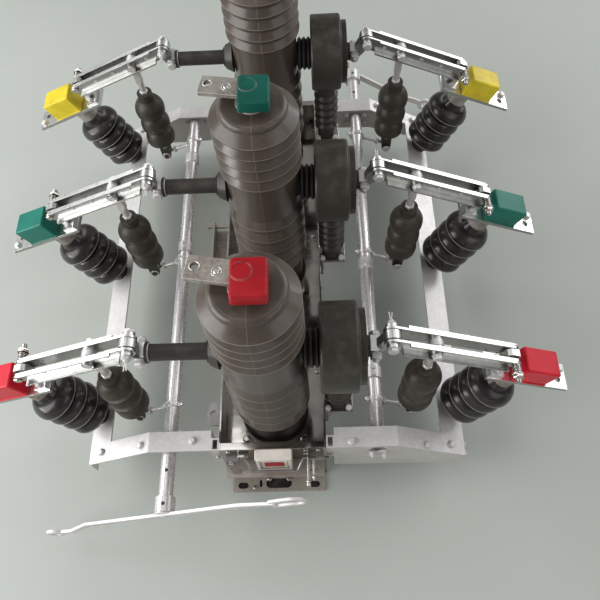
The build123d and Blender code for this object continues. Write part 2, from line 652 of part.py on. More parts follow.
def line_pads():
    """Flat tinned pads on the post insulators, drilled for the line."""
    pad = block(PAD_START, PAD_END, -PAD_WIDTH / 2, PAD_WIDTH / 2, PAD_LEVEL, PAD_LEVEL + PAD_SHEET)
    pad -= rod_z(PAD_LEVEL, PAD_LEVEL + PAD_SHEET, PAD_HOLE_RADIUS, PAD_END - PAD_HOLE_INSET,
                 -PAD_WIDTH / 2 + PAD_HOLE_INSET)
    return gather([turned(on_slope(pad, phase_y(side, phase)), side)
                   for side in ("left", "right") for phase in PHASES])


def line_caps(phase):
    """Box caps over the line ends of one phase, one on each side."""
    foot = PAD_LEVEL + PAD_SHEET
    half = LINE_CAP_WIDTH / 2
    cap = block(LINE_CAP_START, LINE_CAP_START + LINE_CAP_LENGTH, -half, half, foot, foot + LINE_CAP_HEIGHT)
    cap = fillet(cap.edges().filter_by(Axis.Z) + cap.faces().sort_by(Axis.Z)[-1].edges(), CAP_FILLET)
    return gather([turned(on_slope(cap, phase_y(side, phase)), side) for side in ("left", "right")])


def post_insulators():
    """Posts with domed sheds, square to the blades' slope, from the bars to the line pads."""
    shed_start = POST_FOOT + SHED_EDGE
    top = shed_start + (POST_SHEDS - 1 + DOME_RISE) * POST_SHED_PITCH
    post = revolved([(POST_FOOT_RADIUS, -POST_FOOT_RADIUS / 2), (POST_FOOT_RADIUS, POST_FOOT),
                     (POST_CORE_RADIUS, POST_FOOT), (POST_CORE_RADIUS, top), (POST_HEAD_RADIUS, top + POST_CONE),
                     (POST_HEAD_RADIUS, POST_HEIGHT)])
    post += Pos(0, 0, POST_FOOT - POST_RING) * domed_shed(POST_FOOT_RADIUS, POST_RING_RADIUS, POST_RING)
    for k in range(POST_SHEDS):
        shed = domed_shed(POST_CORE_RADIUS, POST_SHED_RADIUS, DOME_RISE * POST_SHED_PITCH)
        post += Pos(0, 0, shed_start + k * POST_SHED_PITCH) * shed
    post = on_slope(Pos(POST_PLACE, 0, POST_BASE) * post, 0)
    post -= plate_xz([(BAR_START, frame_top(BAR_START)), (2 * BAR_END, frame_top(2 * BAR_END)), (BAR_START, -RIM)],
                     -PHASE_SPACING / 2, PHASE_SPACING / 2)
    return gather([turned(Pos(0, phase_y(side, phase), 0) * post, side)
                   for side in ("left", "right") for phase in PHASES])


def frame_bars():
    """Angles across the frames' outer ends: a sloping flange and an upright leg outside."""
    inner = BAR_END - FRAME_SHEET
    foot = frame_top(BAR_END) - BAR_DEPTH
    outline = [(BAR_START, frame_top(BAR_START)), (BAR_END, frame_top(BAR_END)), (BAR_END, foot), (inner, foot),
               (inner, frame_top(inner) - FRAME_DROP), (BAR_START, frame_top(BAR_START) - FRAME_DROP)]
    bar = plate_xz(outline, -HALF_LENGTH, HALF_LENGTH)
    bar = fillet(bar.edges().filter_by(Axis.Z).group_by(Axis.X)[-1], BAR_CORNER)
    return gather([bar, turned(bar, "left")])


def frame_arms():
    """Bent angle arms between the housing and the bars, one with a deep leg outside."""
    start = HALF_WIDTH + ANGLE_WIDTH
    leg_end = BAR_END - FRAME_SHEET
    top = [(start, RIM), (FRAME_KINK_X, RIM), (BAR_START, frame_top(BAR_START)),
           (BAR_START, frame_top(BAR_START) - FRAME_DROP)]
    arms = []
    for y0, depths in ((-HALF_LENGTH, DEEP_LEG), (HALF_LENGTH - FRAME_WIDTH, SHALLOW_LEG)):
        arm = plate_xz(top + [(FRAME_KINK_X, RIM - FRAME_SHEET), (start, RIM - FRAME_SHEET)], y0, y0 + FRAME_WIDTH)
        leg = top + [(leg_end, frame_top(leg_end) - FRAME_DROP), (leg_end, RIM - depths[2]),
                     (FRAME_KINK_X, RIM - depths[1]), (start, RIM - depths[0])]
        arm += plate_xz(leg, y0, y0 + FRAME_SHEET)
        arm -= rod_y(y0 - 1, y0 + FRAME_SHEET + 1, SHAFT_RADIUS + 2, *SHAFT)
        arms.append(arm)
    return gather(arms + [turned(arm, "left") for arm in arms])


def shaft_bearings():
    """Bearing plates on the legs of the frame arms."""
    half = BEARING_WIDTH / 2
    top = RIM - FRAME_SHEET
    plates = []
    for y0 in (-HALF_LENGTH + FRAME_SHEET, HALF_LENGTH - FRAME_WIDTH + FRAME_SHEET):
        plate = block(SHAFT[0] - half, SHAFT[0] + half, y0, y0 + BEARING_SHEET, top - BEARING_HEIGHT, top)
        plate = fillet(plate.edges().filter_by(Axis.Y), 6)
        plate -= rod_y(y0, y0 + BEARING_SHEET, SHAFT_RADIUS + SHAFT_CLEARANCE, *SHAFT)
        plates.append(plate)
    return gather(plates + [turned(plate, "left") for plate in plates])


def shaft(side):
    """Operating shaft with its end sleeve and one crank rod for each phase."""
    sleeve_start = HALF_LENGTH + SLEEVE_START
    bar = rod_y(-HALF_LENGTH + FRAME_SHEET, LEVER_START, SHAFT_RADIUS, *SHAFT)
    bar += rod_y(sleeve_start, LEVER_START, SLEEVE_RADIUS, *SHAFT)
    for y in (HALF_LENGTH + SHAFT_HOLE_PLACE, sleeve_start + SLEEVE_LENGTH / 2):
        bar -= rod_z(SHAFT[1], SHAFT[1] + 2 * SLEEVE_RADIUS, SHAFT_HOLE_RADIUS, SHAFT[0], y)
    half = CRANK_EYE_WIDTH / 2
    crank = rod_x(-CRANK_TAIL, CRANK_RADIUS - CRANK_EYE_RADIUS / 2, CRANK_ROD_RADIUS)
    crank += rod_y(-half, half, CRANK_EYE_RADIUS, CRANK_RADIUS)
    crank -= rod_y(-half, half, PIN_RADIUS + OPEN_PIVOT_CLEARANCE, CRANK_RADIUS)
    crank += rod_y(-CLAMP_WIDTH / 2, CLAMP_WIDTH / 2, CLAMP_RADIUS)
    for y in PHASES.values():
        bar += Pos(SHAFT[0], y, SHAFT[1]) * Rot(0, SLOPE, 0) * crank
    return turned(bar, side)


def lever(side):
    """Two-armed lever on the end of the shaft's sleeve, stepped outwards before each eye."""
    reach = LEVER_REACH[side]
    y0, y1 = LEVER_START, LEVER_START + LEVER_THICKNESS
    far, near = reach - LEVER_END_LENGTH, reach - LEVER_END_LENGTH - LEVER_STEP_LENGTH
    steps = [(-reach, LEVER_STEP), (-far, LEVER_STEP), (-near, 0), (near, 0), (far, LEVER_STEP), (reach, LEVER_STEP)]
    plan = [(x, y0 + step, -LEVER_DEPTH / 2) for x, step in steps]
    plan += [(x, y1 + step, -LEVER_DEPTH / 2) for x, step in reversed(steps)]
    bar = extrude(make_face(Polyline(*plan, close=True)), LEVER_DEPTH, dir=(0, 0, 1))
    bar += rod_y(y0, y1, LEVER_HUB_RADIUS)
    for x, radius, hole in ((reach, OUTER_EYE_RADIUS, OUTER_EYE_HOLE), (-reach, INNER_EYE_RADIUS, INNER_EYE_HOLE)):
        bar += rod_y(y0 + LEVER_STEP, y1 + LEVER_STEP, radius, x)
        bar -= rod_y(y0 + LEVER_STEP, y1 + LEVER_STEP, hole, x)
    return turned(Pos(SHAFT[0], 0, SHAFT[1]) * Rot(0, LEVER_SLOPE[side], 0) * bar, side)


def tie(side, phase):
    """Pull insulator: eye on the blade's pin, neck, domed sheds, and a fork on the crank's eye."""
    half = TIE_EYE_WIDTH / 2
    bottom = -TIE_LENGTH
    body_foot, body_top = bottom + TIE_STEM, -TIE_NECK
    body = revolved([(TIE_FOOT_RADIUS, body_foot), (TIE_FOOT_RADIUS, body_foot + TIE_FITTING),
                     (TIE_CORE_RADIUS, body_foot + TIE_FITTING), (TIE_CORE_RADIUS, body_top - TIE_FITTING),
                     (TIE_HEAD_RADIUS, body_top - TIE_FITTING), (TIE_HEAD_RADIUS, body_top)])
    for k in range(TIE_SHEDS):
        shed = domed_shed(TIE_CORE_RADIUS, TIE_SHED_RADIUS, DOME_RISE * TIE_SHED_PITCH)
        body += Pos(0, 0, body_foot + TIE_FITTING + k * TIE_SHED_PITCH) * shed
    body += rod_z(body_top, 0, half)
    body += block(-TIE_NECK_RADIUS, TIE_NECK_RADIUS, -half, half, body_top + TIE_NECK_ROUND, 0)
    body += rod_y(-half, half, TIE_EYE_RADIUS)
    body -= rod_y(-TIE_NECK, TIE_NECK, PIN_RADIUS + PIN_CLEARANCE)
    inner = CRANK_EYE_WIDTH / 2 + FORK_CLEARANCE
    outer = inner + FORK_CHEEK
    top = bottom + FORK_DEPTH
    body += block(-FORK_WIDTH / 2, FORK_WIDTH / 2, -outer, outer, top - FORK_CHEEK, top)
    body += rod_z(top, body_foot, TIE_NECK_RADIUS)
    for y0, y1 in ((inner, outer), (-outer, -inner)):
        body += block(-FORK_WIDTH / 2, FORK_WIDTH / 2, y0, y1, bottom, top)
        body += rod_y(y0, y1, FORK_WIDTH / 2, 0, bottom)
    body += rod_y(-outer - FORK_CHEEK, outer + FORK_CHEEK, PIN_RADIUS, 0, bottom)
    a = radians(SLOPE)
    tilt = degrees_from_vertical(SHAFT, HINGE)
    top_pivot = (HINGE[0] + CRANK_RADIUS * cos(a), HINGE[1] - CRANK_RADIUS * sin(a))
    placed = Pos(top_pivot[0], phase_y(side, phase), top_pivot[1]) * Rot(0, tilt, 0) * body
    return turned(placed, side)


def degrees_from_vertical(low, high):
    """Lean towards +X of the line from low to high, both (x, z)."""
    return Vector(0, 0, 1).get_angle(Vector(high[0] - low[0], 0, high[1] - low[1]))


def all_parts():
    made = {
        "mechanism_box": mechanism_box(),
        "side_plates": side_plates(),
        "end_plates": end_plates(),
        "mounting_brackets": mounting_brackets(),
        "indicator_housing": indicator_housing(),
        "pull_bail": pull_bail(),
        "lifting_lugs": lifting_lugs(),
        "corner_angles": corner_angles(),
        "top_terminals": top_terminals(),
        "current_transformers": current_transformers(),
        "transformer_seats": transformer_seats(),
        "hinge_blocks": hinge_blocks(),
        "fixed_contacts": fixed_contacts(),
        "line_pads": line_pads(),
        "post_insulators": post_insulators(),
        "frame_bars": frame_bars(),
        "frame_arms": frame_arms(),
        "shaft_bearings": shaft_bearings(),
    }
    for phase, colour in COLOURS.items():
        made[f"pole_{phase}"] = pole(phase)
        made[f"top_cap_{colour}"] = top_cap(phase)
        made[f"line_caps_{colour}"] = line_caps(phase)
    for side in ("left", "right"):
        made[f"{side}_arms"] = conductor_arms(side)
        made[f"{side}_shaft"] = shaft(side)
        made[f"{side}_lever"] = lever(side)
        for phase in PHASES:
            made[f"{side}_blade_{phase}"] = blade(side, phase)
            made[f"{side}_tie_{phase}"] = tie(side, phase)
    return made


def main():
    os.makedirs("parts", exist_ok=True)
    for name, shape in all_parts().items():
        export_step(shape, f"parts/{name}.step")


if __name__ == "__main__":
    main()
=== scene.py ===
import json
import math

import bpy
from mathutils import Matrix, Vector


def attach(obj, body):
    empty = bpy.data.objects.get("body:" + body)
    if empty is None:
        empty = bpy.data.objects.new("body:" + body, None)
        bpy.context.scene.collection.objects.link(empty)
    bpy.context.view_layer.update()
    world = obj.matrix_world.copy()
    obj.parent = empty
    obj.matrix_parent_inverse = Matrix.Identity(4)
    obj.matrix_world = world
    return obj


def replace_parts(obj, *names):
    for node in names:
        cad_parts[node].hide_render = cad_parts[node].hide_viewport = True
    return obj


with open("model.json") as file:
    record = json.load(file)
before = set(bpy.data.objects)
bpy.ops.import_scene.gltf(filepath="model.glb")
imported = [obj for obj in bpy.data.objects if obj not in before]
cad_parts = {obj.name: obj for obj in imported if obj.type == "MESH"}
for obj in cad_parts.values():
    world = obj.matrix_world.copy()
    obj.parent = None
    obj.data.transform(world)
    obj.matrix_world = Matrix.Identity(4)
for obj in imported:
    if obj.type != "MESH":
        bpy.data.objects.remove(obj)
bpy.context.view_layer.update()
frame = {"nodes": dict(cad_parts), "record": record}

# Looks of the outdoor vacuum load break switch. Forms are drawn in millimetres and scaled once.
MM = 0.001

# camera, from the fit to the photograph
CAMERA_PLACE = (102.0, -791.8, 1426.2)
CAMERA_PITCH = 61.64
CAMERA_YAW = -3.91
CAMERA_ROLL = -5.34
FOCAL_LENGTH_PX = 672.74
PHOTO_WIDTH_PX = 600
SENSOR_WIDTH = 36.0
NEAR_CLIP_M = 0.01

# floor and lamps in metres: name, place, target, width and height, power
FLOOR_HALF_M = 12.0
LAMPS = (
    ("left key", (-2.4, -0.7, 1.6), (0, 0, 0.3), (2.8, 1.8), 64),
    ("left window", (-2.4, 1.7, 2.1), (0, 0, 0.3), (2.6, 1.4), 22),
    ("right window", (2.5, 1.6, 2.0), (0, 0, 0.3), (3.2, 2.0), 34),
    ("right fill", (2.5, -1.5, 2.1), (0, 0, 0.3), (2.4, 1.6), 15),
    ("left strip", (-2.6, -1.15, 0.74), (0, 0, 0.5), (1.4, 0.16), 14),
    ("right strip", (2.5, 1.9, 0.9), (0, 0, 0.5), (1.4, 0.16), 6),
    ("front strip", (0.2, -2.9, 0.42), (0, 0, 0.2), (3.4, 0.34), 4),
    ("left skylight", (-0.85, 0.4, 3.2), (-0.1, -0.3, 0.1), (0.8, 1.3), 4.5),
    ("right skylight", (1.0, 0.5, 3.2), (0.3, -0.3, 0.1), (0.7, 1.2), 4.5),
)
WORLD_COLOUR = (0.85, 0.84, 0.82)
WORLD_STRENGTH = 0.30

# colours of the materials
POLE_COLOUR = (0.096, 0.073, 0.058)
RING_COLOUR = (0.044, 0.038, 0.030)
ARM_COLOUR = (0.042, 0.036, 0.032)
# pale colours of the rings on the shed rims: painted highlights
POLE_RIM_HIGHLIGHT_COLOUR = (0.23, 0.20, 0.175)
POST_RIM_HIGHLIGHT_COLOUR = (0.30, 0.28, 0.27)
STEEL_COLOUR = (0.62, 0.59, 0.56)
ZINC_COLOUR = (0.86, 0.84, 0.84)
TIN_COLOUR = (0.87, 0.88, 0.87)
DULL_COLOUR = (0.42, 0.37, 0.32)
BRACKET_COLOUR = (0.48, 0.43, 0.38)
BLACK_COLOUR = (0.018, 0.014, 0.014)
OLIVE_COLOUR = (0.050, 0.041, 0.030)
RED_COLOUR = (0.47, 0.007, 0.016)
GREEN_COLOUR = (0.004, 0.115, 0.085)
YELLOW_COLOUR = (0.94, 0.74, 0.035)
# paler copies of the red and green vinyl for the line caps: painted light, as they stand better lit
# than the top caps
LIT_LINE_RED_COLOUR = (0.80, 0.010, 0.034)
LIT_LINE_GREEN_COLOUR = (0.012, 0.215, 0.160)
CREAM_COLOUR = (0.92, 0.85, 0.78)
DUST_COLOUR = (0.20, 0.17, 0.14)
FLOOR_COLOUR = (0.52, 0.56, 0.52)
SCUFF_COLOUR = (0.9, 0.8, 0.78)
RUBBED_METAL_COLOUR = (0.93, 0.92, 0.90)
WARM_SHADE = (1.0, 0.97, 0.94)
WHITE = (1.0, 1.0, 1.0)

# shader settings that several materials share, and the sockets of a colour mix
EVEN = (1, 1, 1)
NOISE_ROUGHNESS = 0.55
RAYS = 4
PLAIN_SPECULAR = 0.3
EDGE_RANGE = (0.90, 0.995)
CREVICE_RANGE = (0.35, 0.85)
UPWARD_RANGE = (0.15, 0.75)
SEAM_CORE = 0.4
MIX_FIRST = 6
MIX_SECOND = 7
MIX_RESULT = 2

# places taken over from the solid model
PHASES = {"front": -340.0, "middle": 0.0, "rear": 340.0}
COLOURS = {"front": "red", "middle": "green", "rear": "yellow"}
SIDES = ("left", "right")
HALF_LENGTH = 439.0
HALF_WIDTH = 101.5
PLATE = 110.0
RIM = 185.0
POLE_TOP = 629.0
ARM_Z = 422.0
HINGE = (212.0, 453.0)
SLOPE = 24.0
SHAFT = (200.0, 163.0)
CRANK_RADIUS = 80.0
BLOCK_CENTRE = {"left": 198.5, "right": 186.5}
BLOCK_FACE = 14.0
BAR_FACE = 13.5
PIN_FACE = 20.5
CONTACT_S = 231.0
CONTACT_N = 5.0
PAD_TOP = -45.0
TONGUE_MIDDLE = 225.0
LINE_BOLT_S = 368.0
POST_S = 267.5
POST_BASE = -249.2
POST_STUD_X = 355.0
POLE_FOOT = 95.0
POLE_LOW_PITCH = 39.0
POLE_UPPER_START = 378.0
POLE_UPPER_PITCH = 129.0 / 4.8
KINK_X = 236.5
FRAME_SLOPE = 30.0
FRAME_TILT = math.radians(FRAME_SLOPE)
FRAME_NORMAL = Vector((math.sin(FRAME_TILT), 0, math.cos(FRAME_TILT)))
ARM_END_X = 374.0
BEARING_DX = 22.0
TRANSFORMER_FACE = 170.0
TIE_LENGTH = math.hypot(HINGE[0] - SHAFT[0], HINGE[1] - SHAFT[1])
LEVER_MIDDLE = 550.5
LEVER_REACH = {"left": 262.0, "right": 240.0}
LEVER_SLOPE = {"left": 25.0, "right": 34.0}

# sheds that get a pale ring at the rim as a painted highlight: height of the first above the plate,
# pitch and radius, and how many
POLE_SHEDS = ((POLE_FOOT, POLE_LOW_PITCH, 73.0), (POLE_UPPER_START, POLE_UPPER_PITCH, 75.0))
POLE_SHED_COUNT = 5
POST_FIRST_SHED = 37.0
POST_SHED_PITCH = 31.0
POST_SHED_RADIUS = 48.0
POST_SHED_COUNT = 4

# fittings of a blade: rivets along it, and the stack of spring washers on its contact bolt
RIVETS_X = (40, 128, 176)
SPRING_COUNT = 6
SPRING_PITCH = 2.8
SPRING_RADIUS = 7.6
SPRING_THICKNESS = 1.7

# fittings of a support frame, the shaft, the poles' feet and the housing
ARM_THICKNESS = 5.0
POST_SEAT = 5.8
TONGUE_SCREW_Y = 13.5
TONGUE_THICKNESS = 7.0
BLOCK_HALF_DEPTH = 15.0
ARM_BOLTS = ((149, -429), (294, -430), (152, 419), (253, 423), (345, -421), (345, 419))
SLEEVE_ENDS = (-297.0, -42.0)
SHAFT_COLLARS = (-431.0, 425.0)
SHAFT_FIT = 13.4
CLAMP_FACE = 15.5
POLE_BOLT_OFFSET = 57.0
PLATE_RIVET = (88.0, 85.0)
WALL_SCREWS_Y = range(-400, 401, 100)
WALL_DOME = ((5.4, 0), (5.2, 1.2), (3.6, 2.4), (1.5, 2.9))
END_DOME = ((5.0, 0), (4.8, 1.2), (3.2, 2.3), (1.2, 2.8))

# hexagon heads: width across the flats, height, thickness of the washer
HINGE_HEAD = (17, 5.5, 1.6)
HINGE_NUT = (15, 4, 1.6)
TIE_PIN_HEAD = (15, 5.5, 2)
CONTACT_NUT = (16, 7, 1.6)
CONTACT_HEAD = (13, 5.5, 1.6)
BLOCK_BOLT = (17, 8, 2.4)
TONGUE_SCREW = (10, 5, 1.5)
LINE_BOLT = (13, 5.5, 1.6)
POST_NUT = (24, 11, 3)
FRAME_BOLT = (12, 5, 1.8)
BEARING_NUT = (11, 5.5, 1.5)
BEARING_BOLT = (10, 4.5, 1.4)
SEAT_SCREW = (10, 4.5, 1.5)
POLE_BOLT = (13, 6, 2)
END_BOLT = (15, 7, 2.2)
CORNER_SCREW = (9, 4, 1.4)
STUD_NUT = (8.5, 4, 1.2)
WINDOW_SCREW = (11, 5, 1.6)
SHELF_SCREW = (8, 3.5, 1.2)
SMALL_SCREW = (7, 2.5, 1)
LEVER_SCREW = (7, 2.6, 1)

# shares that every fastener keeps, and the wire of the cotters
HEXAGON_STEPS = ((0.97, 0.0), (1.0, 0.06), (1.0, 0.80), (0.86, 1.0))
WASHER_SHARE = 0.62
STUD_SHARE = 0.31
STUD_START = 0.9
STUD_END_RADIUS = 0.42
STUD_END_LENGTH = 0.16
THREAD_ROOT = 0.86
THREAD_TIP = 0.7
SPRING_INNER = 0.55
SPRING_SWEEP = 338.0
SPRING_RISE = 0.4
COTTER_WIRE = 1.1
COTTER_LEGS = ((1, 7), (1, 14), (1.6, 19), (2.08, 24))
SHARP_ANGLE = 34.0

FRONT = (0, -1, 0)
BACK = (0, 1, 0)
UP = (0, 0, 1)
DOWN = (0, 0, -1)
OUT = (1, 0, 0)
IN = (-1, 0, 0)


class Surface:
    """A Principled material with short calls for the texture nodes that feed it."""

    def __init__(self, name, colour, roughness, metallic=0.0):
        self.material = bpy.data.materials.new(name)
        self.material.use_nodes = True
        self.tree = self.material.node_tree
        self.shader = self.tree.nodes["Principled BSDF"]
        self.coordinates = self.node("ShaderNodeTexCoord").outputs["Object"]
        self.set("Base Color", (*colour, 1.0))
        self.set("Roughness", roughness)
        self.set("Metallic", metallic)

    def node(self, kind, **values):
        made = self.tree.nodes.new(kind)
        for key, value in values.items():
            setattr(made, key, value)
        return made

    def set(self, socket, value):
        self.shader.inputs[socket].default_value = value

    def join(self, output, made, socket):
        self.tree.links.new(output, made.inputs[socket])

    def feed(self, output, socket):
        self.tree.links.new(output, self.shader.inputs[socket])

    def stretched(self, stretch):
        """Object coordinates scaled by a factor for each axis."""
        mapping = self.node("ShaderNodeMapping")
        mapping.inputs["Scale"].default_value = stretch
        self.join(self.coordinates, mapping, "Vector")
        return mapping.outputs["Vector"]

    def noise(self, scale, detail, stretch=EVEN):
        made = self.node("ShaderNodeTexNoise")
        made.inputs["Scale"].default_value = scale
        made.inputs["Detail"].default_value = detail
        made.inputs["Roughness"].default_value = NOISE_ROUGHNESS
        self.join(self.stretched(stretch), made, "Vector")
        return made.outputs["Fac"]

    def cells(self, scale):
        """Distance from the middle of the nearest cell."""
        made = self.node("ShaderNodeTexVoronoi")
        made.inputs["Scale"].default_value = scale
        self.join(self.coordinates, made, "Vector")
        return made.outputs["Distance"]

    def remap(self, value, low, high, start=0.0, end=1.0):
        """Value between start and end carried over to low and high."""
        made = self.node("ShaderNodeMapRange")
        for key, number in (("From Min", start), ("From Max", end), ("To Min", low), ("To Max", high)):
            made.inputs[key].default_value = number
        self.join(value, made, "Value")
        return made.outputs["Result"]

    def maths(self, operation, first, second=None):
        made = self.node("ShaderNodeMath", operation=operation)
        self.join(first, made, 0)
        if second is not None:
            self.join(second, made, 1)
        return made.outputs[0]

    def mix(self, factor, first, second):
        """Colour that runs from the first to the second. Each is a colour or an output."""
        made = self.node("ShaderNodeMix", data_type="RGBA")
        self.join(factor, made, "Factor")
        for socket, value in ((MIX_FIRST, first), (MIX_SECOND, second)):
            if isinstance(value, tuple):
                made.inputs[socket].default_value = (*value, 1.0)
            else:
                self.join(value, made, socket)
        return made.outputs[MIX_RESULT]

    def product(self, first, second):
        """Two colour outputs multiplied."""
        made = self.node("ShaderNodeMix", data_type="RGBA", blend_type="MULTIPLY")
        made.inputs["Factor"].default_value = 1.0
        self.join(first, made, MIX_FIRST)
        self.join(second, made, MIX_SECOND)
        return made.outputs[MIX_RESULT]

    def bump(self, height, distance, over):
        """Relief of a depth in millimetres over softened or already raised normals."""
        made = self.node("ShaderNodeBump")
        made.inputs["Distance"].default_value = distance * MM
        self.join(height, made, "Height")
        self.join(over, made, "Normal")
        self.feed(made.outputs["Normal"], "Normal")
        return made.outputs["Normal"]

    def rounded(self, radius):
        """Normals that soften sharp edges over a radius."""
        made = self.node("ShaderNodeBevel", samples=RAYS)
        made.inputs["Radius"].default_value = radius * MM
        return made.outputs["Normal"]

    def edge_factor(self, softened):
        """1 where softened normals leave the true ones, at edges, and 0 on flat faces."""
        true = self.node("ShaderNodeNewGeometry").outputs["Normal"]
        made = self.node("ShaderNodeVectorMath", operation="DOT_PRODUCT")
        self.join(softened, made, 0)
        self.join(true, made, 1)
        return self.remap(made.outputs["Value"], 1.0, 0.0, *EDGE_RANGE)

    def crevices(self, distance):
        """1 in corners and grooves, 0 in the open."""
        made = self.node("ShaderNodeAmbientOcclusion", samples=RAYS)
        made.inputs["Distance"].default_value = distance * MM
        return self.remap(made.outputs["AO"], 1.0, 0.0, *CREVICE_RANGE)

    def upward(self):
        """1 on faces that look up, 0 on walls and undersides."""
        made = self.node("ShaderNodeSeparateXYZ")
        self.join(self.node("ShaderNodeTexCoord").outputs["Normal"], made, "Vector")
        return self.remap(made.outputs["Z"], 0.0, 1.0, *UPWARD_RANGE)

    def seam(self, width):
        """1 on a narrow line in the plane x = 0."""
        made = self.node("ShaderNodeSeparateXYZ")
        self.join(self.coordinates, made, "Vector")
        off = self.maths("ABSOLUTE", made.outputs["X"])
        return self.remap(off, 1.0, 0.0, width * SEAM_CORE * MM, width * MM)


def darker(colour, share):
    return tuple(part * share for part in colour)


def lighter(colour, share, lift=0.0):
    return tuple(min(1.0, part * share + lift) for part in colour)


def mixed(colour, other, share):
    return tuple(a + (b - a) * share for a, b in zip(colour, other))


def moulding(name, colour, roughness, coat, gloss=0.12, parting=0.0, rim=2.4, soft=1.0):
    """Cast resin: clouded and satin, with flow marks, painted shade in its grooves, rims lightened
    partly by wear and partly as painted highlight, and a parting line.
    """
    surface = Surface(name, colour, roughness)
    edges = surface.rounded(soft)
    cloud = surface.remap(surface.noise(9, 5, stretch=(1, 1, 0.4)), 0.0, 1.0, 0.35, 0.72)
    body = surface.mix(cloud, colour, darker(colour, 0.66))
    settled = surface.remap(surface.noise(34, 5), 0.0, 0.5, 0.45, 0.7)
    dust = surface.maths("MULTIPLY", surface.upward(), settled)
    body = surface.mix(dust, body, mixed(colour, DUST_COLOUR, 0.5))
    # painted shade in grooves and corners
    grooves = surface.remap(surface.crevices(14), 0.0, 0.75)
    body = surface.mix(grooves, body, darker(colour, 0.3))
    # edges lightened in patches: partly wear, partly a painted highlight along the rims
    rubbed = surface.remap(surface.noise(50, 4), 0.25, 0.8)
    pale_edges = surface.maths("MULTIPLY", surface.edge_factor(edges), rubbed)
    body = surface.mix(pale_edges, body, lighter(colour, rim, 0.03))
    height = surface.noise(420, 3)
    if parting:
        line = surface.seam(parting)
        body = surface.mix(surface.remap(line, 0.0, 0.45), body, lighter(colour, 2.2))
        height = surface.maths("ADD", surface.remap(line, 0.0, 5.0), height)
    surface.feed(body, "Base Color")
    surface.feed(surface.remap(surface.noise(60, 6), roughness - 0.07, roughness + 0.12), "Roughness")
    surface.set("Specular IOR Level", PLAIN_SPECULAR)
    surface.set("Coat Weight", coat)
    surface.set("Coat Roughness", gloss)
    surface.bump(height, 0.05, over=edges)
    return surface.material


def metal(name, colour, roughness, grain, dents, corner_darkness=0.5, spangle=0.0, metallic=1.0,
          soft=0.7, side_shade=0.9, reach=12):
    """Bare or plated metal: grain, patches, scratches, bright edges, soiling mixed with painted shade
    in its corners, and painted shade on faces that don't look up.
    """
    surface = Surface(name, colour, sum(roughness) / 2, metallic)
    edges = surface.rounded(soft)
    patches = surface.remap(surface.noise(14, 6), 0.0, 0.9, 0.42, 0.75)
    body = surface.mix(patches, colour, darker(colour, 0.86))
    # faces that don't look up are darkened, darkest on the tinned webs: painted shade
    side_shading = surface.mix(surface.upward(), darker(WARM_SHADE, side_shade), WHITE)
    if spangle:
        flakes = surface.remap(surface.cells(95), spangle, 0.0, 0.0, 0.6)
        body = surface.mix(flakes, body, lighter(colour, 1.16))
    body = surface.product(body, side_shading)
    # corners darkened in patches: soiling and painted shade together
    corner_patches = surface.remap(surface.noise(26, 5), corner_darkness, 0.1, 0.35, 0.7)
    grime_and_shade = surface.maths("MULTIPLY", surface.crevices(reach), corner_patches)
    body = surface.mix(grime_and_shade, body, darker(DUST_COLOUR, 0.4))
    rubbed = surface.remap(surface.edge_factor(edges), 0.0, 0.5)
    body = surface.mix(rubbed, body, RUBBED_METAL_COLOUR)
    surface.feed(body, "Base Color")
    scratches = surface.noise(90, 3, stretch=grain)
    scratched = surface.remap(scratches, roughness[0], roughness[1], 0.3, 0.7)
    surface.feed(surface.maths("ADD", scratched, surface.remap(grime_and_shade, 0.0, 0.25)), "Roughness")
    relief = surface.bump(surface.noise(12, 3), dents, over=edges)
    surface.bump(scratches, 0.02, over=relief)
    return surface.material


def dull_tin():
    """Weathered tin over pressed copper: beige, finely speckled, brighter where it is rubbed."""
    surface = Surface("weathered tin", DULL_COLOUR, 0.5, 0.55)
    edges = surface.rounded(0.8)
    speckle = surface.noise(170, 5)
    spots = surface.remap(speckle, 0.0, 1.0, 0.35, 0.65)
    body = surface.mix(spots, DULL_COLOUR, darker(DULL_COLOUR, 0.55))
    patches = surface.remap(surface.noise(20, 5), 0.0, 0.7, 0.45, 0.7)
    body = surface.mix(patches, body, mixed(DULL_COLOUR, TIN_COLOUR, 0.4))
    body = surface.mix(surface.edge_factor(edges), body, TIN_COLOUR)
    surface.feed(body, "Base Color")
    surface.feed(surface.remap(surface.noise(60, 5), 0.38, 0.62), "Roughness")
    surface.bump(speckle, 0.12, over=edges)
    return surface.material


def soft_plastic(name, colour):
    """Dipped vinyl: glossy, slightly wavy, paler where it is scuffed."""
    surface = Surface(name, colour, 0.34)
    edges = surface.rounded(1.6)
    cloud = surface.remap(surface.noise(24, 4), 0.0, 1.0, 0.35, 0.75)
    body = surface.mix(cloud, colour, darker(colour, 0.68))
    # painted shade in grooves and corners
    grooves = surface.remap(surface.crevices(8), 0.0, 0.5)
    body = surface.mix(grooves, body, darker(colour, 0.35))
    scuffed = surface.remap(surface.noise(60, 5), 0.0, 0.7, 0.4, 0.6)
    pale_edges = surface.maths("MULTIPLY", surface.edge_factor(edges), scuffed)
    body = surface.mix(pale_edges, body, mixed(colour, SCUFF_COLOUR, 0.35))
    surface.feed(body, "Base Color")
    surface.feed(surface.remap(surface.noise(80, 4), 0.26, 0.44), "Roughness")
    surface.set("Specular IOR Level", PLAIN_SPECULAR)
    surface.set("Coat Weight", 0.06)
    surface.set("Coat Roughness", 0.2)
    surface.set("Subsurface Weight", 0.06)
    surface.set("Subsurface Radius", (0.004, 0.002, 0.001))
    relief = surface.bump(surface.noise(45, 3), 0.30, over=edges)
    surface.bump(surface.noise(300, 3), 0.03, over=relief)
    return surface.material


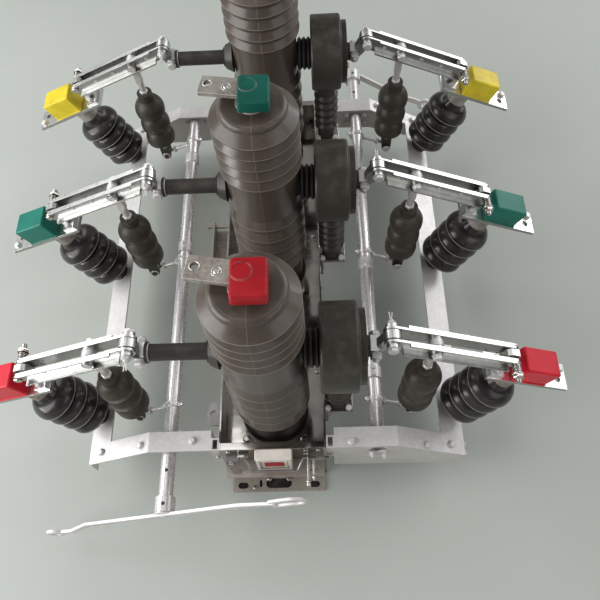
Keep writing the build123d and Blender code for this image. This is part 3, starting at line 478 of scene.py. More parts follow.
# materials by slot, and the ones of single nodes or pieces by name
MATERIALS = {
    # the rim share lightens the edges of the mouldings: partly wear, partly painted highlight,
    # strongest on the black sheds
    "pole_moulding": moulding("moulded resin", POLE_COLOUR, 0.34, 0.5, 0.20, parting=0.9, rim=3.0,
                              soft=1.3),
    "stainless_sheet": metal("stainless sheet", STEEL_COLOUR, (0.04, 0.15), (0.05, 1, 8), 0.25,
                             corner_darkness=0.8, soft=1.3, side_shade=0.8, reach=30),
    "galvanised_steel": metal("galvanised steel", ZINC_COLOUR, (0.30, 0.44), EVEN, 0.12, corner_darkness=0.4,
                              spangle=0.5, metallic=0.35, soft=1.6, side_shade=0.74),
    "tinned_copper": metal("tinned copper", TIN_COLOUR, (0.26, 0.34), EVEN, 0.0, corner_darkness=0.4, soft=0.5,
                           side_shade=0.5, reach=7),
    "dull_tin": dull_tin(),
    "black_moulding": moulding("black moulding", BLACK_COLOUR, 0.34, 0.5, 0.16, rim=5.0, soft=1.2),
    "grey_moulding": moulding("olive moulding", OLIVE_COLOUR, 0.44, 0.15, 0.32, rim=2.0),
    "red_plastic": soft_plastic("red vinyl", RED_COLOUR),
    "green_plastic": soft_plastic("green vinyl", GREEN_COLOUR),
    "yellow_plastic": soft_plastic("yellow vinyl", YELLOW_COLOUR),
    "indicator_plastic": soft_plastic("cream plastic", CREAM_COLOUR),
}
VARIANTS = {
    "current_transformers": moulding("transformer resin", RING_COLOUR, 0.38, 0.2, 0.25),
    "left_arms": moulding("arm resin", ARM_COLOUR, 0.40, 0.15, 0.25),
    "pole_shed_rim_highlights": moulding("pole rim highlight resin", POLE_RIM_HIGHLIGHT_COLOUR, 0.36, 0.3, 0.2),
    "post_shed_rim_highlights": moulding("post rim highlight resin", POST_RIM_HIGHLIGHT_COLOUR, 0.36, 0.3, 0.2),
    "left_shaft": metal("bright zinc", ZINC_COLOUR, (0.22, 0.30), EVEN, 0.0, corner_darkness=0.2, metallic=0.6,
                        soft=0.0, side_shade=0.97, reach=1),
    "pull_bail": metal("aged zinc", darker(ZINC_COLOUR, 0.42), (0.3, 0.5), EVEN, 0.1),
    "line_caps_red": soft_plastic("red vinyl lit paler", LIT_LINE_RED_COLOUR),
    "line_caps_green": soft_plastic("green vinyl lit paler", LIT_LINE_GREEN_COLOUR),
    "lifting_lugs": metal("worn zinc", darker(ZINC_COLOUR, 0.5), (0.3, 0.5), EVEN, 0.2),
    "mounting_brackets": metal("passivated zinc", BRACKET_COLOUR, (0.24, 0.40), (1, 1, 6), 0.15,
                               metallic=0.4, side_shade=0.8, reach=30),
    "left_operating_lever": metal("new zinc", ZINC_COLOUR, (0.34, 0.44), EVEN, 0.08, corner_darkness=0.2,
                                  metallic=0.25),
}
for member in ("arms", "shaft", "operating_lever"):
    VARIANTS[f"right_{member}"] = VARIANTS[f"left_{member}"]


def facing(point, direction, turn=0.0):
    """Local Z towards a direction, from a point, with a turn about it in degrees."""
    aim = Vector(direction).to_track_quat("Z", "Y").to_matrix().to_4x4()
    return Matrix.Translation(point) @ aim @ Matrix.Rotation(math.radians(turn), 4, "Z")


def circle(sides):
    """Angles of equal steps round a whole turn."""
    return [2 * math.pi * k / sides for k in range(sides)]


def rounded_rectangle(width, height, radius, steps=4):
    """Anticlockwise outline of a rectangle with round corners, about the origin."""
    points = []
    for corner, (sx, sy) in enumerate(((1, 1), (-1, 1), (-1, -1), (1, -1))):
        for k in range(steps + 1):
            angle = math.radians(90 * (corner + k / steps))
            points.append((sx * (width / 2 - radius) + radius * math.cos(angle),
                           sy * (height / 2 - radius) + radius * math.sin(angle)))
    return points


def inset(outline, distance):
    """Anticlockwise outline moved inwards by a distance."""
    moved = []
    for k, point in enumerate(outline):
        here = Vector(point)
        before = (here - Vector(outline[k - 1])).normalized()
        after = (Vector(outline[(k + 1) % len(outline)]) - here).normalized()
        first, second = Vector((-before.y, before.x)), Vector((-after.y, after.x))
        moved.append(here + distance * (first + second) / (1 + first.dot(second)))
    return moved


def dense(outline, step):
    """Outline with extra points, so that none of its edges is longer than a step."""
    points = []
    for k, point in enumerate(outline):
        here, after = Vector(point), Vector(outline[(k + 1) % len(outline)])
        parts = max(1, math.ceil((after - here).length / step))
        points += [here.lerp(after, n / parts) for n in range(parts)]
    return points


def arc(centre, radius, start, end, steps):
    """Points (x, z) on an arc between two angles in degrees."""
    angles = [math.radians(start + (end - start) * k / steps) for k in range(steps + 1)]
    return [(centre[0] + radius * math.cos(a), centre[1] + radius * math.sin(a)) for a in angles]


def at_height(outline, height):
    """Outline in local XY as points at a height."""
    return [(*point, height) for point in outline]


class Piece:
    """One mesh object in the making, drawn in millimetres."""

    def __init__(self, name, slot, body="root", look=None):
        self.name = name
        self.slot = slot
        self.look = look or name
        self.body = body
        self.points = []
        self.faces = []

    def loft(self, rings, place, loop=False):
        """Skin over rings of equally many points, closed by end faces or into a loop."""
        start, count = len(self.points), len(rings[0])
        self.points += [place @ Vector(point) for ring in rings for point in ring]
        rows = len(rings)
        for row in range(rows if loop else rows - 1):
            low, high = start + row * count, start + (row + 1) % rows * count
            for k in range(count):
                after = (k + 1) % count
                self.faces.append((low + k, low + after, high + after, high + k))
        if not loop:
            self.faces.append(tuple(start + k for k in reversed(range(count))))
            self.faces.append(tuple(start + (rows - 1) * count + k for k in range(count)))

    def lathe(self, profile, place, sides=28):
        """Solid turned about local Z from (radius, height) points, from the lowest up."""
        angles = circle(sides)
        self.loft([[(r * math.cos(a), r * math.sin(a), z) for a in angles] for r, z in profile], place)

    def disc(self, place, radius, length, edge=0.5, sides=28):
        profile = [(radius - edge, 0), (radius, edge), (radius, length - edge), (radius - edge, length)]
        self.lathe(profile, place, sides)

    def hoop(self, profile, place, sides=40, sweep=360.0, rise=0.0):
        """Closed (radius, height) outline turned about local Z, whole or part of a turn."""
        whole = sweep >= 360
        rings = []
        for k in range(sides if whole else sides + 1):
            share = k / sides
            a = math.radians(sweep * share)
            rings.append([(r * math.cos(a), r * math.sin(a), z + rise * share)
                          for r, z in reversed(profile)])
        self.loft(rings, place, loop=whole)

    def ring(self, place, radius, wire, sides=40):
        """Round ring about local Z."""
        section = [(radius + wire * math.cos(a), wire * math.sin(a)) for a in circle(10)]
        self.hoop(section, place, sides)

    def band(self, place, inner, outer, length, edge=0.5, sides=40):
        """Square ring about local Z."""
        self.hoop([(inner, 0), (outer - edge, 0), (outer, edge), (outer, length - edge),
                   (outer - edge, length), (inner, length)], place, sides)

    def plate(self, outline, thickness, place, edge=0.6):
        """Plate with chamfered edges over an anticlockwise outline in local XY."""
        small = inset(outline, edge)
        self.loft([at_height(small, 0), at_height(outline, edge),
                   at_height(outline, thickness - edge), at_height(small, thickness)], place)

    def holed(self, outline, centre, radius, thickness, place, edge=0.6):
        """Plate with chamfered edges and one round hole, over an outline that faces the hole."""
        outline = dense(outline, 2.0)
        middle = Vector(centre)
        hole = [middle + radius * (Vector(point) - middle).normalized() for point in outline]
        small = inset(outline, edge)
        self.loft([at_height(hole, 0), at_height(small, 0), at_height(outline, edge),
                   at_height(outline, thickness - edge), at_height(small, thickness),
                   at_height(hole, thickness)], place, loop=True)

    def rim(self, outline, width, thickness, place, edge=0.5):
        """Frame of a width inside an anticlockwise outline, with chamfered outer edges."""
        inner = inset(outline, width)
        self.loft([at_height(inner, 0), at_height(outline, 0), at_height(outline, thickness - edge),
                   at_height(inset(outline, edge), thickness), at_height(inner, thickness)],
                  place, loop=True)

    def pillow(self, width, depth, corner, height, place, edge, taper=1.0, crown=0.6):
        """Soft box with rounded edges, drawn in a little towards its crowned top."""
        levels = [(0.8, 0.0), (0.0, 0.8)]
        for k in range(5):
            a = math.radians(90 * k / 4)
            levels.append((taper + edge * (1 - math.cos(a)), height - edge + edge * math.sin(a)))
        for share, rise in ((0.18, 0.7), (0.32, 1.0)):
            levels.append((taper + edge + min(width, depth) * share, height + crown * rise))
        rings = []
        for shift, level in levels:
            shrink = min(corner * 0.9, max(0.0, shift - taper) * 0.5)
            outline = rounded_rectangle(width - 2 * shift, depth - 2 * shift, corner - shrink, 5)
            rings.append(at_height(outline, level))
        self.loft(rings, place)

    def ribbon(self, path, thickness, depth, place, edge=1.0):
        """Flat bar standing on edge along (x, y, z) points, a chamfered section at each."""
        t, d = thickness / 2, depth / 2
        section = [(-t, -d + edge), (-t + edge, -d), (t - edge, -d), (t, -d + edge),
                   (t, d - edge), (t - edge, d), (-t + edge, d), (-t, d - edge)]
        self.loft([[(x, y + dy, z + dz) for dy, dz in section] for x, y, z in path], place)

    def tube(self, path, radius, place, sides=12):
        """Round rod along a path of points."""
        path = [Vector(point) for point in path]
        side = (path[1] - path[0]).orthogonal().normalized()
        rings = []
        for k, point in enumerate(path):
            ahead = (path[min(k + 1, len(path) - 1)] - path[max(k - 1, 0)]).normalized()
            side = (side - ahead * side.dot(ahead)).normalized()
            other = ahead.cross(side)
            rings.append([point + radius * (side * math.cos(a) + other * math.sin(a))
                          for a in circle(sides)])
        self.loft(rings, place)

    def hexagon(self, place, width, height):
        """Hexagon of a width across its flats, with a chamfered crown and the end of its stud."""
        corner = width / math.sqrt(3)
        rings = []
        for share, level in HEXAGON_STEPS:
            rings.append([(corner * share * math.cos(a), corner * share * math.sin(a), height * level)
                          for a in circle(6)])
        self.loft(rings, place)
        end = place @ Matrix.Translation((0, 0, height * STUD_START))
        self.disc(end, width * STUD_END_RADIUS, height * STUD_END_LENGTH, 0.3, 20)

    def thread(self, place, radius, length, pitch=1.6):
        """Threaded end with a chamfered tip."""
        turns = max(1, int(length / pitch))
        profile = []
        for k in range(turns):
            profile += [(radius * THREAD_ROOT, k * pitch), (radius, (k + 0.5) * pitch)]
        profile.append((radius * THREAD_ROOT, turns * pitch))
        profile.append((radius * THREAD_TIP, max(length, turns * pitch + 0.2)))
        self.lathe(profile, place, 18)

    def screw(self, place, size):
        """Hexagon head on its washer."""
        width, height, washer = size
        self.disc(place, width * WASHER_SHARE, washer, 0.4)
        self.hexagon(place @ Matrix.Translation((0, 0, washer)), width, height)

    def nut(self, place, size, out):
        """Washer, nut and the end of its stud, which comes out by a length."""
        width, height, washer = size
        self.screw(place, size)
        stud = place @ Matrix.Translation((0, 0, washer + height * STUD_START))
        self.thread(stud, width * STUD_SHARE, out)

    def spring_washer(self, place, radius, thickness):
        inner = radius * SPRING_INNER
        profile = [(inner, 0), (radius, 0), (radius, thickness), (inner, thickness)]
        self.hoop(profile, place, 24, sweep=SPRING_SWEEP, rise=thickness * SPRING_RISE)

    def finish(self):
        mesh = bpy.data.meshes.new(self.name)
        mesh.from_pydata([point * MM for point in self.points], [], self.faces)
        mesh.update()
        mesh.shade_smooth()
        mesh.set_sharp_from_angle(angle=math.radians(SHARP_ANGLE))
        piece = bpy.data.objects.new(self.name, mesh)
        bpy.context.scene.collection.objects.link(piece)
        mesh.materials.append(VARIANTS.get(self.look, MATERIALS[self.slot]))
        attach(piece, self.body)
        return piece


def sided(side):
    """The right-hand drawing as it is, or turned half a turn for the left."""
    return Matrix.Rotation(math.pi, 4, "Z") if side == "left" else Matrix()


def drawn(side, phase):
    """Frame of one phase on one side, as the solid model draws it."""
    y = PHASES[phase] if side == "right" else -PHASES[phase]
    return sided(side) @ Matrix.Translation((0, y, 0))


def sloped(side, phase):
    """Frame at the hinge with X along the blade."""
    slope = Matrix.Rotation(math.radians(SLOPE), 4, "Y")
    return drawn(side, phase) @ Matrix.Translation((HINGE[0], 0, HINGE[1])) @ slope


def frame_top(x):
    """Height of the top of a support frame's arm, which slopes down beyond its bend."""
    return RIM - max(0.0, x - KINK_X) * math.tan(FRAME_TILT)


def blade_fittings(side, phase):
    """Bolts of the hinge and the tie's pin, and the sprung contact bolt at the tip."""
    at = sloped(side, phase)
    body = f"{side}_blade_{phase}"
    fittings = Piece(f"{side}_blade_bolts_{phase}", "galvanised_steel", body)
    fittings.screw(at @ facing((0, -PIN_FACE, 0), FRONT, 12), HINGE_HEAD)
    fittings.screw(at @ facing((0, PIN_FACE, 0), BACK, 25), HINGE_NUT)
    fittings.disc(at @ facing((0, PIN_FACE + 5, 0), BACK), 5, 4, 0.8)
    for x in (-1.4, 1.4):
        leg = [(x * spread, PIN_FACE + y, 0) for spread, y in COTTER_LEGS]
        fittings.tube(leg, COTTER_WIRE, at, 8)
    fittings.screw(at @ facing((CRANK_RADIUS, -PIN_FACE, 0), FRONT, 8), TIE_PIN_HEAD)
    fittings.disc(at @ facing((CRANK_RADIUS, PIN_FACE, 0), BACK), 7, 1.6, 0.8)
    for y in (-BAR_FACE - 0.9, BAR_FACE - 0.6):
        for x in RIVETS_X:
            fittings.disc(at @ facing((x, y, 2), BACK), 4.2, 1.5, 0.5, 18)
    fittings.finish()

    def tip(y, direction, turn=0.0):
        return at @ facing((CONTACT_S, y, CONTACT_N), direction, turn)

    stack = Piece(f"{side}_contact_springs_{phase}", "stainless_sheet", body)
    stack.disc(tip(-BAR_FACE, FRONT), 8.5, 1.6)
    for k in range(SPRING_COUNT):
        place = tip(-BAR_FACE - 2.2 - SPRING_PITCH * k, FRONT, 180 * (k % 2))
        stack.spring_washer(place, SPRING_RADIUS, SPRING_THICKNESS)
    stack.disc(tip(-BAR_FACE, FRONT), 4, 20)
    stack.nut(tip(-BAR_FACE - 19.4, FRONT, 15), CONTACT_NUT, 9)
    stack.screw(tip(BAR_FACE, BACK), CONTACT_HEAD)
    stack.finish()


def root_fittings(side, phase):
    """Fasteners that stand still: hinge block, contact foot, line end and post of one phase."""
    at = drawn(side, phase)
    x = BLOCK_CENTRE[side]
    bolts = Piece(f"{side}_fixed_bolts_{phase}", "galvanised_steel")
    bolts.nut(at @ facing((x, -BLOCK_FACE, ARM_Z), FRONT, 10), BLOCK_BOLT, 6)
    bolts.screw(at @ facing((x, BLOCK_FACE, ARM_Z), BACK, 10), BLOCK_BOLT)
    bolts.band(at @ facing((x - BLOCK_HALF_DEPTH, 0, ARM_Z), OUT), 14.6, 16.6, 4)
    sloping = sloped(side, phase)
    for y in (-TONGUE_SCREW_Y, TONGUE_SCREW_Y):
        place = sloping @ facing((TONGUE_MIDDLE, y, PAD_TOP + TONGUE_THICKNESS), UP, 20)
        bolts.screw(place, TONGUE_SCREW)
    bolts.screw(sloping @ facing((LINE_BOLT_S, 14, PAD_TOP), UP), LINE_BOLT)
    underside = (POST_STUD_X, 0, frame_top(POST_STUD_X) - POST_SEAT)
    bolts.nut(at @ facing(underside, -FRAME_NORMAL, 15), POST_NUT, 9)
    bolts.finish()


def tie_fittings(side, phase):
    """Lock nut, fork pin with its washers, cotter and the cemented collars of a pull insulator."""
    a = math.radians(SLOPE)
    tilt = math.atan2(HINGE[0] - SHAFT[0], HINGE[1] - SHAFT[1])
    pivot = (HINGE[0] + CRANK_RADIUS * math.cos(a), 0, HINGE[1] - CRANK_RADIUS * math.sin(a))
    at = drawn(side, phase) @ Matrix.Translation(pivot) @ Matrix.Rotation(tilt, 4, "Y")
    foot = -TIE_LENGTH
    metalwork = Piece(f"{side}_tie_fittings_{phase}", "galvanised_steel", f"{side}_tie_{phase}")
    metalwork.hexagon(at @ facing((0, 0, foot + 27), UP, 15), 20, 8)
    metalwork.disc(at @ facing((0, 0, foot + 26), UP), 11, 2)
    metalwork.disc(at @ facing((0, -16.4, foot), FRONT), 9, 3.2, 0.8)
    metalwork.disc(at @ facing((0, 11.6, foot), BACK), 9.5, 1.8)
    cotter = [(x, 15, foot + dz) for x, dz in ((-9, -1), (0, 0.6), (8, 0), (12, -4))]
    metalwork.tube(cotter, COTTER_WIRE, at, 8)
    metalwork.band(at @ facing((0, -6.1, 0), BACK), 6.4, 12.6, 12.2, 0.6)
    metalwork.plate(rounded_rectangle(15.2, 13.2, 2), 44, at @ facing((0, 0, -58), UP), 1.0)
    metalwork.disc(at @ facing((0, 0, -89), UP), 6.8, 32, 0.6)
    metalwork.hexagon(at @ facing((0, 0, -88.4), UP, 15), 17, 7)
    metalwork.finish()


def drive_fittings(side):
    """Nuts of the crank rods, collars of the shaft, screws of its sleeve, and dark discs down its holes
    as painted shadow.
    """
    at = sided(side)
    slope = Matrix.Rotation(math.radians(SLOPE), 4, "Y")
    works = Piece(f"{side}_drive_bolts", "galvanised_steel", f"{side}_drive")
    for y in PHASES.values():
        crank = at @ Matrix.Translation((SHAFT[0], y, SHAFT[1])) @ slope
        works.hexagon(crank @ facing((16.2, 0, 0), OUT, 10), 13, 6)
        works.hexagon(crank @ facing((-16.2, 0, 0), IN, 25), 10, 3)
        works.thread(crank @ facing((22, 0, 0), OUT), 3.9, 32)
        works.hexagon(crank @ facing((53, 0, 0), OUT, 30), 13, 5)
        works.disc(crank @ facing((69, 0, 0), OUT), 5.2, 5)
        for z, direction in ((-CLAMP_FACE, DOWN), (CLAMP_FACE, UP)):
            works.disc(crank @ facing((0, 0, z), direction), 2.8, 4.5, 0.6, 16)
    for y in SLEEVE_ENDS:
        works.band(at @ facing((SHAFT[0], y, SHAFT[1]), BACK), SHAFT_FIT, 16.2, 26, 1.0)
        for shift in (6, 20):
            works.hexagon(at @ facing((SHAFT[0], y + shift, SHAFT[1] + 15.6), UP, 12), 8, 3.5)
    for y in SHAFT_COLLARS:
        works.band(at @ facing((SHAFT[0], y, SHAFT[1]), BACK), SHAFT_FIT, 18.0, 7, 0.8)
    works.finish()

    # black discs down the shaft's holes: painted shadow
    bore_shadows = Piece(f"{side}_shaft_bore_shadows", "black_moulding", f"{side}_drive")
    for y, depth in ((HALF_LENGTH + 32, 2.4), (HALF_LENGTH + 94, 7.4)):
        bore_shadows.disc(at @ facing((SHAFT[0], y, SHAFT[1] + 8), UP), 3.9, 1.6 + depth, 0.2, 20)
    bore_shadows.finish()


def lever(side):
    """Operating lever: bent flat bar, a ring at its outer end and an open hook at its inner end."""
    slope = Matrix.Rotation(math.radians(LEVER_SLOPE[side]), 4, "Y")
    at = sided(side) @ Matrix.Translation((SHAFT[0], LEVER_MIDDLE, SHAFT[1])) @ slope
    reach = LEVER_REACH[side]
    far, near = reach - 40, reach - 74
    hook, hook_x, hook_y, hook_z = 19.0, -reach - 10, 5.0, 3.0
    bar = Piece(f"{side}_operating_lever", "galvanised_steel", f"{side}_drive")
    bends = [(hook_x + hook + 22, hook_y, -9), (-near - 40, 3.4, -6), (-near + 28, 0, 0), (0, 0, 0),
             (near, 0, 0), (far, 9, 0), (reach - 14, 9, 3)]
    bar.ribbon(bends, 6.4, 15, at)
    wire = [(hook_x + hook + 28, hook_y, -11.5), (hook_x + hook + 4, hook_y, -13)]
    wire += [(x, hook_y, z) for x, z in arc((hook_x, hook_z), hook, -58, -270, 22)]
    wire += [(hook_x + dx, hook_y, hook_z + hook + dz) for dx, dz in ((8, 0.3), (22, 0.0), (40, -1.6))]
    bar.tube(wire, 3.5, at)
    bar.band(at @ facing((reach, 5.5, 4), BACK), 8.5, 18.5, 7, 1.0)
    bar.disc(at @ facing((0, -3.4, 0), BACK), 18.4, 3.2, 0.8, 40)
    bar.disc(at @ facing((0, 3.0, 0), BACK), 6.5, 1.6, 0.5)
    for x in (-near + 14, -near + 40, near - 30, near - 8):
        bar.screw(at @ facing((x, 0, -7.4), DOWN, 20), LEVER_SCREW)
        bar.thread(at @ facing((x, 0, -10), DOWN), 2.2, 5, 1.2)
    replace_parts(bar.finish(), f"{side}_lever")


def frame_fittings(side):
    """Bolts of one support frame, its bearings and its bar."""
    at = sided(side)
    bolts = Piece(f"{side}_frame_bolts", "galvanised_steel")
    for x, y in ARM_BOLTS:
        direction = FRAME_NORMAL if x > KINK_X else Vector(UP)
        head = Vector((x, y, frame_top(x)))
        bolts.screw(at @ facing(head, direction, x), FRAME_BOLT)
        bolts.nut(at @ facing(head - ARM_THICKNESS * direction, -direction, x), FRAME_BOLT, 5)
    for x, z in ((188, 156), (212, 147)):
        bolts.nut(at @ facing((x, -HALF_LENGTH - 2.4, z), FRONT, 12), BEARING_NUT, 4)
    strap = at @ facing((SHAFT[0], -HALF_LENGTH, 151.5), FRONT, 20)
    bolts.plate(rounded_rectangle(38, 11, 5), 2.5, strap, 0.5)
    for x in (SHAFT[0] - BEARING_DX, SHAFT[0] + BEARING_DX):
        for z in (145, 170):
            bolts.screw(at @ facing((x, 400, z), FRONT, 20), BEARING_BOLT)
            bolts.nut(at @ facing((x, 417, z), BACK, 20), BEARING_BOLT, 4)
            bolts.nut(at @ facing((x, -422, z), BACK, 20), BEARING_BOLT, 4)
    for y in (-428, -410, 428, 410):
        bolts.screw(at @ facing((ARM_END_X, y, frame_top(ARM_END_X) - 24), OUT, 8), FRAME_BOLT)
    bolts.finish()


def seat_fittings():
    """Bolts of the transformer seats, and the transformers' mould seams and terminals."""
    bolts = Piece("seat_bolts", "galvanised_steel")
    seams = Piece("transformer_seams", "pole_moulding")
    terminal_z = ARM_Z - 38
    for y in PHASES.values():
        for dx in (-20, 20):
            for dy in (-21, 21):
                bolts.screw(facing((127 + dx, y + dy, 182), UP, dx + dy), SEAT_SCREW)
        for dy in (-18, 18):
            bolts.screw(facing((107.5, y + dy, 146), OUT, dy), SEAT_SCREW)
        seams.band(facing((157.5, y, ARM_Z), OUT), 61, 63.6, 3, 0.8, 64)
        seams.band(facing((TRANSFORMER_FACE - 0.5, y, ARM_Z), OUT), 17, 22, 3.0, 0.8)
        block = rounded_rectangle(24, 18, 3)
        seams.plate(block, 4, facing((TRANSFORMER_FACE, y, terminal_z), OUT, 90), 0.8)
        for dy in (-5, 5):
            bolts.disc(facing((TRANSFORMER_FACE + 3.6, y + dy, terminal_z), OUT), 3.2, 4, 0.6, 16)
    bolts.finish()
    seams.finish()


def housing_fittings():
    """Screws of the housing, and gaskets and bolts at the feet of the poles."""
    screws = Piece("housing_screws", "stainless_sheet")
    gaskets = Piece("pole_gaskets", "black_moulding")
    for y in PHASES.values():
        gaskets.band(facing((0, y, PLATE), UP), 58, 67.5, 4, 1.2, 72)
        for dx in (-POLE_BOLT_OFFSET, POLE_BOLT_OFFSET):
            for dy in (-POLE_BOLT_OFFSET, POLE_BOLT_OFFSET):
                screws.screw(facing((dx, y + dy, PLATE), UP, dx * dy), POLE_BOLT)
        for dx in (-PLATE_RIVET[0], PLATE_RIVET[0]):
            screws.disc(facing((dx, y + PLATE_RIVET[1], PLATE), UP), 5, 2.6, 0.9)
    for side in SIDES:
        at = sided(side)
        for y in WALL_SCREWS_Y:
            screws.lathe(WALL_DOME, at @ facing((HALF_WIDTH, y, 12), OUT), 20)
        for x in (-86, 86):
            for z in (124, 168):
                screws.lathe(END_DOME, at @ facing((x, -HALF_LENGTH, z), FRONT), 20)
        for x in (-64, 64):
            screws.screw(at @ facing((x, -HALF_LENGTH - 5, 55), FRONT, 10), END_BOLT)
        for x in (-108, 108):
            screws.screw(at @ facing((x, -HALF_LENGTH, 150), FRONT, 14), CORNER_SCREW)
    screws.finish()
    gaskets.finish()


def indicator_fittings():
    """Window with its plain banded plate, tabs and long studs beside it, screws in the lower shelf."""
    face = -HALF_LENGTH
    # black sheet under the lower shelf, seen through its slots: painted shadow
    slot_shadow = Piece("shelf_slot_shadow", "black_moulding")
    slot_shadow.plate(rounded_rectangle(176, 30, 3), 1.6, facing((0, face - 20, 0.2), UP), 0.4)
    slot_shadow.finish()

    lean = math.atan2(2, 62)
    direction = (0, -math.cos(lean), math.sin(lean))
    panel = Piece("indicator_plate", "indicator_plastic")
    panel.plate(rounded_rectangle(50, 52, 3), 1.4, facing((1, face - 16.2, 146), direction), 0.4)
    panel.rim(rounded_rectangle(66, 62, 3), 5.5, 1.8, facing((1, face - 19.2, 146), direction))
    panel.plate(rounded_rectangle(70, 21, 3), 2.6, facing((1, face - 9.8, 180.6), UP), 0.8)
    panel.finish()
    band = Piece("indicator_band", "red_plastic")
    band.plate(rounded_rectangle(38, 26, 3), 0.8, facing((1, face - 17.5, 143), direction), 0.3)
    band.finish()

    metalwork = Piece("indicator_studs", "stainless_sheet")
    stud_z = 151
    for x, end in ((66, 60), (76.5, 52)):
        metalwork.thread(facing((x, face, stud_z), FRONT), 3.0, end, 1.3)
        metalwork.nut(facing((x, face - 3, stud_z), FRONT, 10), STUD_NUT, 2)
        metalwork.hexagon(facing((x, face - end + 9, stud_z), FRONT, 20), 8.5, 5)
    metalwork.disc(facing((66, face - 57, stud_z), FRONT), 4.6, 6, 1.2, 20)
    for z in (157, 163):
        metalwork.plate(rounded_rectangle(42, 5, 1), 1.6, facing((86, face - 12, z), UP), 0.3)
    metalwork.screw(facing((62, face, 166), FRONT, 5), WINDOW_SCREW)
    metalwork.screw(facing((-80, face - 14, stud_z), FRONT, 5), BEARING_BOLT)
    metalwork.plate(rounded_rectangle(20, 12, 1.5), 9, facing((-58, face, 160), FRONT), 0.6)
    for x in (-20, 20):
        metalwork.screw(facing((x, face - 12.5, 5), UP, x), SHELF_SCREW)
    metalwork.screw(facing((-50, face - 30, 5), UP), SMALL_SCREW)
    metalwork.finish()


def shed_rims():
    """Pale rings round the rims of the sheds of the poles and of the posts: painted highlights where
    the rims catch the light.
    """
    poles = Piece("pole_shed_rim_highlights", "pole_moulding")
    for y in PHASES.values():
        for start, pitch, radius in POLE_SHEDS:
            for k in range(POLE_SHED_COUNT):
                level = PLATE + start + (k + 0.12) * pitch + 2.6
                poles.ring(facing((0, y, level), UP), radius - 0.3, 0.6, 96)
    poles.finish()
    posts = Piece("post_shed_rim_highlights", "black_moulding")
    for side in SIDES:
        for phase in PHASES:
            for k in range(POST_SHED_COUNT):
                height = POST_BASE + POST_FIRST_SHED + POST_SHED_PITCH * k + 2.4
                place = sloped(side, phase) @ facing((POST_S, 0, height), UP)
                posts.ring(place, POST_SHED_RADIUS - 0.3, 0.8, 64)
    posts.finish()


def terminals():
    """Pressed terminals on their bosses, each with an open hole and a stud beside it."""
    tin = Piece("pole_terminals", "dull_tin")
    bright = Piece("terminal_rings", "tinned_copper")
    hole_radius = 6.5
    for y in PHASES.values():
        top = Matrix.Translation((0, y, POLE_TOP))
        tin.disc(top, 27, 3, 0.8, 48)
        tin.disc(top, 20, 22, 0.8, 48)
        holes = top @ Matrix.Rotation(math.radians(-18), 4, "Z")
        outer, inner = (holes @ Vector((x, 0, 16)) for x in (-73, -40.5))
        palm = Matrix.Translation((outer + inner) / 2) @ Matrix.Rotation(math.radians(-10), 4, "Z")
        outline = [(x + 16.5, y) for x, y in rounded_rectangle(90, 38, 2.5)]
        tin.holed(outline, (palm.inverted() @ outer).xy, hole_radius, 8, palm)
        above = Vector((0, 0, 7.9))
        bright.ring(facing(outer + above, UP), hole_radius + 0.6, 0.8)
        bright.ring(facing(inner + above, UP), hole_radius + 0.5, 0.8)
        bright.disc(facing(inner, UP), 4.6, 9.6, 1.2)
        bright.hexagon(facing(inner, DOWN), 13, 6)
    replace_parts(tin.finish(), "top_terminals")
    bright.finish()


def top_cap(phase):
    """Soft cap over a terminal's root, with a raised ring on its top."""
    colour = COLOURS[phase]
    cap = Piece(f"soft_cap_{colour}", f"{colour}_plastic")
    at = Matrix.Translation((5, PHASES[phase] - 2, POLE_TOP + 12.5))
    cap.pillow(53, 65, 6, 19.5, at, edge=2.6)
    mark = at @ Matrix.Translation((-9, 9, 19))
    cap.band(mark, 13.4, 15.6, 2.0, 0.7)
    cap.disc(mark, 14, 1.3, 0.4, 40)
    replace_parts(cap.finish(), f"top_cap_{colour}")


def line_cap_fittings(side, phase):
    """Base lip of a line cap and the sleeve between the line pad and its post."""
    at = sloped(side, phase)
    colour = COLOURS[phase]
    cap = Piece(f"{side}_line_cap_lip_{phase}", f"{colour}_plastic", look=f"line_caps_{colour}")
    cap.plate(rounded_rectangle(73, 51.5, 4.5), 4.0, at @ Matrix.Translation((293, 0, PAD_TOP)), 1.0)
    cap.finish()
    sleeve = Piece(f"{side}_post_head_{phase}", "dull_tin")
    profile = [(20.4, -29), (22.0, -27.5), (22.0, -1.6), (20.6, 0)]
    sleeve.lathe(profile, at @ Matrix.Translation((POST_S, 0, PAD_TOP - 7.2)), 40)
    sleeve.finish()


def dress_frame():
    """Each CAD node gets the material of its slot, or its own."""
    for part in frame["record"]["subparts"]:
        node = frame["nodes"][part["node"]]
        node.data.materials.clear()
        node.data.materials.append(VARIANTS.get(part["node"], MATERIALS[part["material_slot"]]))


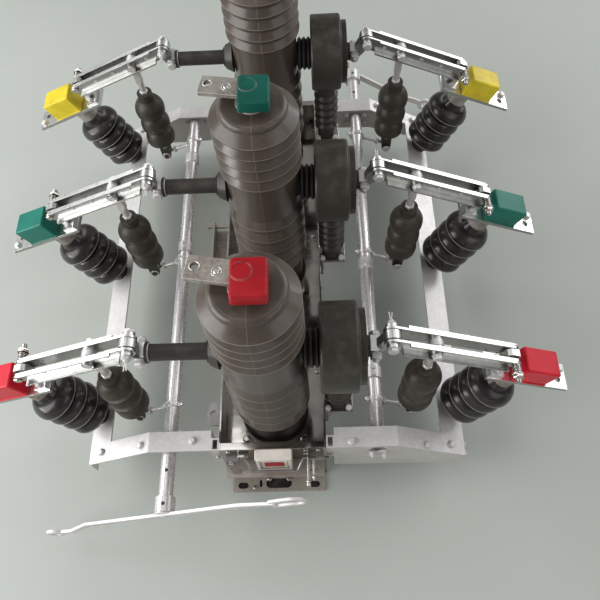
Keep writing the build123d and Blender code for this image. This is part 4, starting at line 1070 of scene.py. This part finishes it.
def add_camera():
    pitch, yaw, roll = (math.radians(v) for v in (CAMERA_PITCH, CAMERA_YAW, CAMERA_ROLL))
    ahead = Vector((math.sin(yaw) * math.cos(pitch), math.cos(yaw) * math.cos(pitch), -math.sin(pitch)))
    level = Vector((math.cos(yaw), -math.sin(yaw), 0.0))
    above = level.cross(ahead)
    right = math.cos(roll) * level + math.sin(roll) * above
    up = -math.sin(roll) * level + math.cos(roll) * above
    data = bpy.data.cameras.new("camera")
    data.sensor_width = SENSOR_WIDTH
    data.lens = SENSOR_WIDTH * FOCAL_LENGTH_PX / PHOTO_WIDTH_PX
    data.clip_start = NEAR_CLIP_M
    camera = bpy.data.objects.new("camera", data)
    turn = Matrix((right, up, -ahead)).transposed().to_4x4()
    camera.matrix_world = Matrix.Translation(Vector(CAMERA_PLACE) * MM) @ turn
    bpy.context.scene.collection.objects.link(camera)
    bpy.context.scene.camera = camera


def add_floor():
    size = FLOOR_HALF_M
    mesh = bpy.data.meshes.new("floor")
    corners = [(-size, -size, 0), (size, -size, 0), (size, size, 0), (-size, size, 0)]
    mesh.from_pydata(corners, [], [(0, 1, 2, 3)])
    floor = bpy.data.objects.new("floor", mesh)
    bpy.context.scene.collection.objects.link(floor)
    surface = Surface("floor paint", FLOOR_COLOUR, 0.5)
    cloud = surface.remap(surface.noise(1.6, 5), 0.0, 1.0, 0.3, 0.8)
    surface.feed(surface.mix(cloud, FLOOR_COLOUR, darker(FLOOR_COLOUR, 0.90)), "Base Color")
    floor.data.materials.append(surface.material)


def add_lamp(name, place, target, size, power):
    data = bpy.data.lights.new(name, "AREA")
    data.shape = "RECTANGLE"
    data.size, data.size_y = size
    data.energy = power
    lamp = bpy.data.objects.new(name, data)
    lamp.location = place
    aim = Vector(target) - Vector(place)
    lamp.rotation_euler = aim.to_track_quat("-Z", "Y").to_euler()
    bpy.context.scene.collection.objects.link(lamp)


def add_light():
    for lamp in LAMPS:
        add_lamp(*lamp)
    world = bpy.data.worlds.new("studio")
    bpy.context.scene.world = world
    world.use_nodes = True
    background = world.node_tree.nodes["Background"]
    background.inputs["Color"].default_value = (*WORLD_COLOUR, 1.0)
    background.inputs["Strength"].default_value = WORLD_STRENGTH


dress_frame()
add_camera()
add_floor()
add_light()
for side in SIDES:
    drive_fittings(side)
    lever(side)
    frame_fittings(side)
    for phase in PHASES:
        blade_fittings(side, phase)
        root_fittings(side, phase)
        tie_fittings(side, phase)
        line_cap_fittings(side, phase)
shed_rims()
terminals()
for phase in PHASES:
    top_cap(phase)
seat_fittings()
housing_fittings()
indicator_fittings()
bpy.context.scene.view_settings.view_transform = "Standard"
